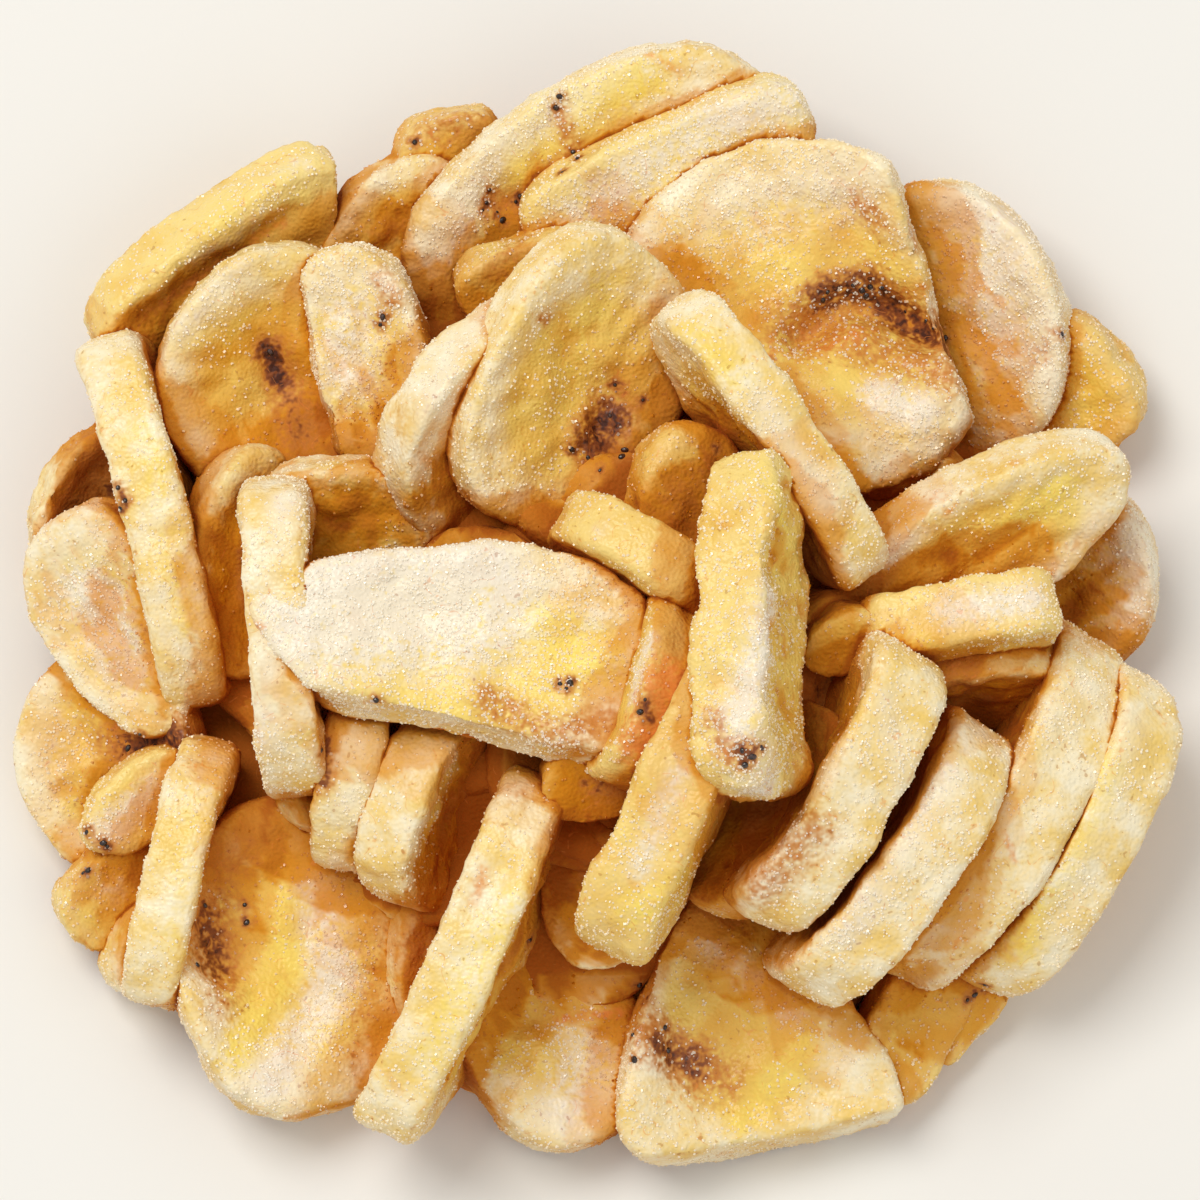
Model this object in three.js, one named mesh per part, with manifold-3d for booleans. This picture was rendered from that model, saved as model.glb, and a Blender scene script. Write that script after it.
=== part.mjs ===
// A heap of dried banana slices, as it lies on a table. Millimetres, +Z up.
// The origin is in the middle of the heap's outline, on the table.
import * as THREE from "three";
import { mergeVertices } from "three/addons/utils/BufferGeometryUtils.js";
import Module from "manifold-3d";

const manifold = await Module();
manifold.setup();

// The heap is described as somebody sees it who looks down at it from the front.
const LOOK_DOWN = 78;            // degrees below level
const MIDDLE_HEIGHT = 15;        // the height on the line of sight at the picture's centre
const HEAP_MIDDLE = [-0.268, 0.654];   // middle of the outline, before it is moved to the origin

// The core that carries the slices, hidden under them.
const CORE_RADIUS = 36;
const CORE_HEIGHT = 19;
const CORE_ROUNDNESS = 2.4;
const CORE_SIDES = 24;
const CORE_STEPS = 5;

// Every slice is a disc with a puffed rim and sunken faces.
const FEWEST_SIDES = 6;
const LENGTH_PER_SIDE = 3;       // half length for one side more
const ON_EDGE = 60;              // a slice tipped more than this hides its faces: no dish
const RIM_START = 0.88;          // where the rim begins to round over, as a share of the radius
const DISH = 0.55;               // where the sunken face begins, as a share of the radius
const DISH_HEIGHT = 0.4;         // half heights, as shares of the thickness
const RIM_HEIGHT = 0.5;
const CENTRE_HEIGHT = 0.33;
const CUT_INSET = 0.75;          // how far the dish keeps back from a straight cut
const LEVEL_SHARE = 0.35;        // keeps a bent slice centred on its own middle
const ROUND_OUTLINE = 2.1;       // exponent of the outline: 2 is an ellipse, 3 nearly a square
const LUMPS = [[2, 0.035], [3, 0.03]];   // waves round the outline: how many, how deep
const LUMP_TURN = 2.4;           // radians by which the waves differ from slice to slice

// name, [across, up, height], [turn, rise, tip], [half length, half width, thickness], form
//   across, up: where the middle shows, from the picture's centre; height: over the table
//   turn: direction of the long axis in the picture; rise: how far its far end comes closer
//   tip: turn about the long axis, 0 shows the face and 90 the rim
//   form: square (outline exponent), taper, cut ([direction, distance]), bow (ends bend up),
//   cup (sides bend up)
const SLICES = [
  ["top_back", [0.3, 34, 9.5], [31, 0, 12], [19.3, 14, 5.5], { cut: [-90, 3], cup: 1, square: 2.2 }],
  ["top_slab", [6.3, 39.2, 14.5], [24, 0, 18], [13.8, 4.8, 5.5], { square: 3.4 }],
  ["small_back", [-13.5, 41, 8], [15, 0, 20], [5.5, 3.8, 5], { square: 3 }],
  ["behind_left", [-18.9, 32.8, 7], [55, 0, 15], [8.5, 6.5, 5], {}],
  ["upper_left", [-33.6, 30.5, 9], [38, 0, 40], [13.9, 7.4, 6], { square: 2.8, cut: [-37, 9.5] }],
  ["left_face", [-29.3, 20.3, 13], [40, 0, 10], [11.5, 11, 5.5], { cup: 2 }],
  ["left_lobe", [-21.4, 22, 16], [-78, 0, 8], [9.8, 6.3, 6], { cut: [-90, 4.5], square: 2.3 }],
  ["pair_left", [-7.8, 15.6, 17], [52, 0, 45], [14, 12.5, 6], { cup: 1 }],
  ["pair_right", [-2.7, 19.4, 22], [63, 0, 30], [13.7, 10.5, 5.5], { square: 2.4, cup: 1 }],
  ["pair_back", [-6.4, 28.9, 14.5], [20, 0, 20], [6.5, 4.5, 5], { square: 2.6 }],
  ["fold_right", [19.6, 25.8, 14.5], [-35, 0, -8], [18, 14.2, 5.5],
    { cut: [50, 10.7], square: 2.4, cup: 4 }],
  ["pale_right", [33.3, 26, 8], [-68, 0, 15], [12.5, 9.3, 5.5], { cup: 1 }],
  ["far_right", [43.5, 19.2, 5], [-50, 0, 20], [6.2, 5.4, 5], { square: 3.2 }],
  ["cross_rod", [15, 14.2, 25], [-56, -8, 75], [15, 7.6, 5.6], { square: 2.6 }],
  ["round_bit", [7.2, 8.1, 23], [80, 0, 20], [7.5, 5, 5.5], { square: 2.3 }],
  ["top_rod", [13.3, -2.2, 30], [-91, 8, -72], [16, 7.2, 6.6], { square: 2.8, taper: 0.32 }],
  ["low_rod", [7.2, -17.1, 25], [-115, 0, -83], [14.8, 8, 7.4], { square: 2.6 }],
  ["white_half", [-13.4, -5.4, 26], [-13, 0, -10], [18.6, 11, 5.5],
    { cut: [-90, 5.8], taper: 0.48, square: 2.15 }],
  ["back_strip", [3.6, 3.2, 24], [-32, 0, 75], [8.5, 7, 5.5], {}],
  ["orange_end", [4.5, -8.6, 25.5], [-111, 0, 75], [8.2, 7, 6], {}],
  ["left_rod", [-39.3, 6.75, 10.8], [105, 0, 84], [17.8, 8.5, 6], { bow: -1.5, square: 2.8 }],
  ["left_brown", [-44.2, 7.3, 6], [60, 0, 20], [8.8, 8, 5], { cup: 2 }],
  ["left_white", [-43.2, -2.2, 10.5], [-60, 0, 20], [10.8, 6.6, 6], { square: 2.3, taper: -0.3 }],
  ["mid_rod", [-28, -3.1, 20], [94.5, 0, 86], [14.8, 8.5, 6], { square: 2.8 }],
  ["mid_back", [-22.9, 7.6, 17], [0, 0, 20], [7.5, 5.5, 5.5], { square: 2.8 }],
  ["low_left_face", [-43.9, -14.2, 5.8], [-80, 0, 20], [11.3, 8.5, 5.5], { cup: 1 }],
  ["low_left_ridge", [-41.5, -18, 8.7], [38, 0, 10], [6, 3.5, 5], {}],
  ["low_left_wedge", [-43.8, -26, 4.7], [40, 0, 20], [5.5, 4, 5], { square: 3.6 }],
  ["edge_rod", [-37.6, -24.8, 8.7], [77, 0, 84], [12.6, 7.5, 5.4], { square: 3 }],
  ["edge_back", [-41.4, -31.5, 4], [75, 0, 30], [4.5, 3.5, 4.5], {}],
  ["big_low_left", [-27.7, -32.4, 7], [-72, 0, -15], [14.3, 11.2, 6], { square: 2.5, cup: 2 }],
  ["under_a", [-21.5, -15, 15], [78, 0, 82], [9.5, 7, 5.5], {}],
  ["under_b", [-15.3, -18.4, 15.5], [69, 0, 65], [8.8, 7.5, 6], { square: 2.6 }],
  ["long_rod", [-11.6, -32.3, 14], [66, 6, 82], [17.8, 8, 6.5], { bow: -1.5, square: 2.6 }],
  ["dim_left", [-14.5, -29.7, 7], [75, 0, 30], [9.5, 5, 5], {}],
  ["dim_mid", [0, -26, 12.5], [-70, 0, 20], [7, 5.5, 5], {}],
  ["brown_low", [-0.5, -15.8, 20.5], [10, 0, 20], [5, 3.8, 5], {}],
  ["dim_top", [-1, -19, 15.5], [0, 0, 20], [6, 5, 5], {}],
  ["bottom_mid", [-5.2, -37.8, 5.8], [-55, 0, -15], [12.3, 8.3, 6], { cup: -1, square: 3 }],
  ["bottom_big", [12.4, -38.1, 6.5], [-80, 0, -8], [13.8, 10, 6.5],
    { cut: [0, 11.2], square: 2.6, taper: 0.62, cup: 1 }],
  ["lean_a", [20.9, -16.3, 20], [60, 0, -76], [13.3, 9.5, 7.4], { bow: 0.6, square: 2.4 }],
  ["lean_b", [25.8, -23.4, 14.5], [55, 0, -76], [15, 9.5, 7.2], { bow: 0.6, square: 2.5 }],
  ["lean_c", [35.4, -19, 10.8], [57, 0, -73], [17.5, 9.6, 8.2], { bow: 0.8, square: 2.5 }],
  ["lean_d", [42.1, -20.6, 9.3], [63, 0, -68], [15.8, 8.4, 6.8], { bow: 1, square: 2.5 }],
  ["small_front", [27.9, -38, 4.8], [60, 0, 20], [7.3, 4.2, 5], { square: 3.4 }],
  ["small_side", [32.6, -36.5, 4], [50, 0, 20], [5.2, 3.4, 4.5], { square: 3.2 }],
  ["right_lean", [33.5, 5, 17], [33, 0, 30], [15.5, 7, 5.5], {}],
  ["right_rod", [32.1, -2.2, 19.5], [10, 0, 75], [9, 5.5, 6], { square: 3.2 }],
  ["tip_bit", [21.4, -3.6, 20.5], [30, 0, 20], [4, 3, 4], {}],
  ["right_back", [42.5, 2.7, 6], [-60, 0, 15], [9.5, 8, 5.5], { cup: 1 }],
  ["deep_right", [32.8, -7.5, 14], [8, 0, 60], [9, 6, 5], {}],
  ["lean_zero", [15.7, -18.9, 17], [57, 0, -45], [10.5, 8, 5.5], {}],
  ["deep_top", [25.5, 9.3, 8.8], [-30, 0, 20], [9, 7, 5], {}],
  ["deep_brown", [19.5, -8, 16.5], [80, 0, 30], [9, 6, 5], {}],
  ["deep_left", [-32.5, 3, 12], [85, 0, 30], [11, 6, 5], {}],
  ["deep_under", [-24.5, -13, 12], [80, 0, 30], [8, 5, 5], {}],
];

// The lower layers: rings of slices that slope outwards, seen in the gaps and from the sides.
// ring radius, height, how many, slope outwards
const LOWER_RINGS = [[31, 4.5, 11, 12], [24, 10, 9, 22], [13, 15.5, 5, 15], [0, 18, 1, 0]];
const LOWER_SIZE = [12, 10.5, 5.5];
const LOWER_FORM = { bow: 1 };
const LOWER_GROWTH = 2;          // how much longer and wider some of them are
const LOWER_WOBBLE = 16;         // how unevenly they slope, in degrees
const LOWER_SHIFT = 0.3;         // how unevenly they stand in the ring, as a share of a place
const LOWER_SEEDS = { length: 100, width: 200, slope: 300, spin: 400 };

const TABLE_ROOM = 150;          // side of the box over the table that the heap is kept to
const SAME_POINT = 1e-5;         // corners closer than this are one
const SPREAD_STEP = 12.9898;     // two numbers that scatter the values of spread
const SPREAD_SCALE = 43758.5453;

const radians = THREE.MathUtils.degToRad;
const signedPower = (value, power) => Math.sign(value) * Math.abs(value) ** power;

// The same even spread of values from 0 to 1 at every run.
const spread = (seed) => {
  const value = Math.sin(seed * SPREAD_STEP) * SPREAD_SCALE;
  return value - Math.floor(value);
};

function solidOf(geometry) {
  const bare = geometry.clone();
  bare.deleteAttribute("normal");
  bare.deleteAttribute("uv");
  const merged = mergeVertices(bare, SAME_POINT);
  const mesh = new manifold.Mesh({
    numProp: 3,
    vertProperties: new Float32Array(merged.attributes.position.array),
    triVerts: new Uint32Array(merged.index.array),
  });
  return new manifold.Manifold(mesh);
}

function geometryOf(solid) {
  const mesh = solid.getMesh();
  const geometry = new THREE.BufferGeometry();
  geometry.setAttribute("position", new THREE.BufferAttribute(mesh.vertProperties, 3));
  geometry.setIndex(new THREE.BufferAttribute(mesh.triVerts, 1));
  geometry.computeVertexNormals();
  return geometry;
}

// The outline at an angle and a share of the full radius, in shares of the slice's size.
function outlinePoint(angle, share, order, form, size) {
  const power = 2 / (form.square ?? ROUND_OUTLINE);
  let radius = share;
  LUMPS.forEach(([waves, depth], i) => {
    radius += share * depth * Math.sin(waves * angle + (i + 1) * order * LUMP_TURN);
  });
  let along = radius * signedPower(Math.cos(angle), power);
  let aside = radius * signedPower(Math.sin(angle), power) * (1 + (form.taper ?? 0) * along);
  if (form.cut) {
    const [direction, distance] = form.cut;
    const [dx, dy] = [Math.cos(radians(direction)), Math.sin(radians(direction))];
    const limit = share > DISH ? distance : distance * CUT_INSET;
    const over = Math.max(0, along * size[0] * dx + aside * size[1] * dy - limit);
    along -= (over * dx) / size[0];
    aside -= (over * dy) / size[1];
  }
  return [along, aside];
}

function sliceGeometry(size, form, order, dished) {
  const [halfLength, halfWidth, thickness] = size;
  const { bow = 0, cup = 0 } = form;
  const rings = [[RIM_START, RIM_HEIGHT], [1, 0], [RIM_START, -RIM_HEIGHT]];
  if (dished) {
    rings.unshift([DISH, DISH_HEIGHT]);
    rings.push([DISH, -DISH_HEIGHT]);
  }
  const sides = FEWEST_SIDES + Math.round(halfLength / LENGTH_PER_SIDE);
  const positions = [];
  const addPoint = (along, aside, height) => {
    const bend = bow * (along ** 2 - LEVEL_SHARE) + cup * (aside ** 2 - LEVEL_SHARE);
    positions.push(along * halfLength, aside * halfWidth, height * thickness + bend);
  };
  addPoint(0, 0, CENTRE_HEIGHT);
  for (const [share, height] of rings) {
    for (let k = 0; k < sides; k++) {
      const angle = (2 * Math.PI * k) / sides;
      const [along, aside] = outlinePoint(angle, share, order, form, size);
      addPoint(along, aside, height);
    }
  }
  addPoint(0, 0, -CENTRE_HEIGHT);

  const faces = [];
  const last = rings.length * sides + 1;
  for (let k = 0; k < sides; k++) {
    const next = (k + 1) % sides;
    faces.push(0, 1 + k, 1 + next);
    for (let r = 0; r < rings.length - 1; r++) {
      const [upper, lower] = [1 + r * sides, 1 + (r + 1) * sides];
      faces.push(upper + k, lower + k, lower + next, upper + k, lower + next, upper + next);
    }
    faces.push(last - sides + next, last - sides + k, last);
  }
  const geometry = new THREE.BufferGeometry();
  geometry.setAttribute("position", new THREE.Float32BufferAttribute(positions, 3));
  geometry.setIndex(faces);
  return geometry;
}

// Puts a slice where it shows in the picture: turned in the picture's own axes, then tilted
// with the line of sight, at its height over the table.
function layMatrix([across, up, height], [turn, rise, tip]) {
  const look = radians(LOOK_DOWN);
  const depth = (up - (height - MIDDLE_HEIGHT) * Math.cos(look)) / Math.sin(look);
  const matrix = new THREE.Matrix4().makeTranslation(across, depth, height);
  matrix.multiply(new THREE.Matrix4().makeRotationX(Math.PI / 2 - look));
  matrix.multiply(new THREE.Matrix4().makeRotationZ(radians(turn)));
  matrix.multiply(new THREE.Matrix4().makeRotationY(radians(-rise)));
  return matrix.multiply(new THREE.Matrix4().makeRotationX(radians(tip)));
}

// Puts one of the lower slices in its ring, spun at random and sloping outwards.
function lowerMatrix(ring, place, seed) {
  const [radius, height, count, slope] = LOWER_RINGS[ring];
  const shift = LOWER_SHIFT * (spread(seed) - 0.5) + (ring % 2) / 2;
  const direction = (2 * Math.PI * (place + shift)) / count;
  const lean = radians(slope + LOWER_WOBBLE * (spread(seed + LOWER_SEEDS.slope) - 0.5));
  const spin = 2 * Math.PI * spread(seed + LOWER_SEEDS.spin);
  const matrix = new THREE.Matrix4().makeRotationZ(direction);
  matrix.multiply(new THREE.Matrix4().makeTranslation(radius, 0, height));
  matrix.multiply(new THREE.Matrix4().makeRotationY(lean));
  return matrix.multiply(new THREE.Matrix4().makeRotationZ(spin));
}

function lowerSlices() {
  const slices = [];
  LOWER_RINGS.forEach(([, , count], ring) => {
    for (let place = 0; place < count; place++) {
      const seed = slices.length + 1;
      const [halfLength, halfWidth, thickness] = LOWER_SIZE;
      const size = [
        halfLength + LOWER_GROWTH * spread(seed + LOWER_SEEDS.length),
        halfWidth + LOWER_GROWTH * spread(seed + LOWER_SEEDS.width),
        thickness,
      ];
      const geometry = sliceGeometry(size, LOWER_FORM, seed, false);
      slices.push(geometry.applyMatrix4(lowerMatrix(ring, place, seed)));
    }
  });
  return slices;
}

function upperSlices() {
  return SLICES.map(([, at, lie, size, form], order) => {
    const dished = Math.abs(lie[2]) < ON_EDGE;
    return sliceGeometry(size, form, order, dished).applyMatrix4(layMatrix(at, lie));
  });
}

function coreGeometry() {
  const profile = [new THREE.Vector2(0, 0)];
  for (let k = 0; k <= CORE_STEPS; k++) {
    const angle = (Math.PI / 2) * (k / CORE_STEPS);
    const radius = CORE_RADIUS * Math.cos(angle) ** (2 / CORE_ROUNDNESS);
    const height = CORE_HEIGHT * Math.sin(angle) ** (2 / CORE_ROUNDNESS);
    profile.push(new THREE.Vector2(k === CORE_STEPS ? 0 : radius, height));
  }
  return new THREE.LatheGeometry(profile, CORE_SIDES).rotateX(Math.PI / 2);
}

// Everything above the table, so that what rests on it is flat underneath.
function roomAboveTable() {
  const box = new THREE.BoxGeometry(TABLE_ROOM, TABLE_ROOM, TABLE_ROOM);
  return solidOf(box.translate(0, 0, TABLE_ROOM / 2));
}

// The largest closed shell: leaves out sealed hollows and loose scraps.
function biggestShell(solid) {
  return solid.decompose().reduce((best, part) => (part.volume() > best.volume() ? part : best));
}

function sliceHeap() {
  let heap = solidOf(coreGeometry());
  for (const slice of [...lowerSlices(), ...upperSlices()]) {
    heap = heap.add(solidOf(slice));
  }
  const geometry = geometryOf(biggestShell(heap.intersect(roomAboveTable())));
  return geometry.translate(-HEAP_MIDDLE[0], -HEAP_MIDDLE[1], 0);
}

const fruit = new THREE.MeshStandardMaterial({ color: 0xe6c878, roughness: 0.5, metalness: 0 });
const heap = new THREE.Mesh(sliceHeap(), fruit);
heap.name = "slice_heap";

const bananaHeap = new THREE.Group();
bananaHeap.add(heap);

export default bananaHeap;
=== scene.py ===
"""A heap of dried banana slices: every slice a piece of its own, with sugar grains and seeds."""
import math

import bpy
import numpy as np
from mathutils import Matrix, Vector, noise
from mathutils.bvhtree import BVHTree


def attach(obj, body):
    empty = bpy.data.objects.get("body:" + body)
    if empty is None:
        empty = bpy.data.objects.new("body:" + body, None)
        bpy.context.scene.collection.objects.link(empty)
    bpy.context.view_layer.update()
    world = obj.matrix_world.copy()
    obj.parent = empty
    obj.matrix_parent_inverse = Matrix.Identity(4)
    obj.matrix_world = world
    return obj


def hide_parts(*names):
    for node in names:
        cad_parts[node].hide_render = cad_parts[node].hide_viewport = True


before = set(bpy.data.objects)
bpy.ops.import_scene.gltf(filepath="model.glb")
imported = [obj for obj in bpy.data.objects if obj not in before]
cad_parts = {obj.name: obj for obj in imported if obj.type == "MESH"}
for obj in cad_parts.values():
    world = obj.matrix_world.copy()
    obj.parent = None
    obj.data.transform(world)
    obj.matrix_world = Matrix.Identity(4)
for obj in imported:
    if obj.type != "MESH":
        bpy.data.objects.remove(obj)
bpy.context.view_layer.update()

MM = 0.001
BODY = "root"
NODE = "slice_heap"

# The camera looks down at the heap from the front. Millimetres and degrees.
LOOK_DOWN = 78
MIDDLE_HEIGHT = 15
HEAP_MIDDLE = (-0.268, 0.654)
EYE_DISTANCE = 900
PICTURE_WIDTH = 108
PICTURE_PIXELS = 1200
SENSOR = 36

# The plain slice that all the others are copied from.
DISC_RADIUS = 13
DISC_THICK = 6
DISC_SIDES = 40
RIM_BEVEL = 1.0
RIM_STEPS = 3
LEVEL = 0.9          # a normal's rise, from which a face is one of the two flat ones
DEAD_LEVEL = 0.99
INSETS = ((1.8, 0.98), (2.6, 0.84), (2.6, 0.9))     # width of the step, how far the face sinks

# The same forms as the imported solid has.
ROUND_OUTLINE = 2.1
LUMPS = ((2, 0.035), (3, 0.03))
LUMP_TURN = 2.4
LEVEL_SHARE = 0.35

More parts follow.
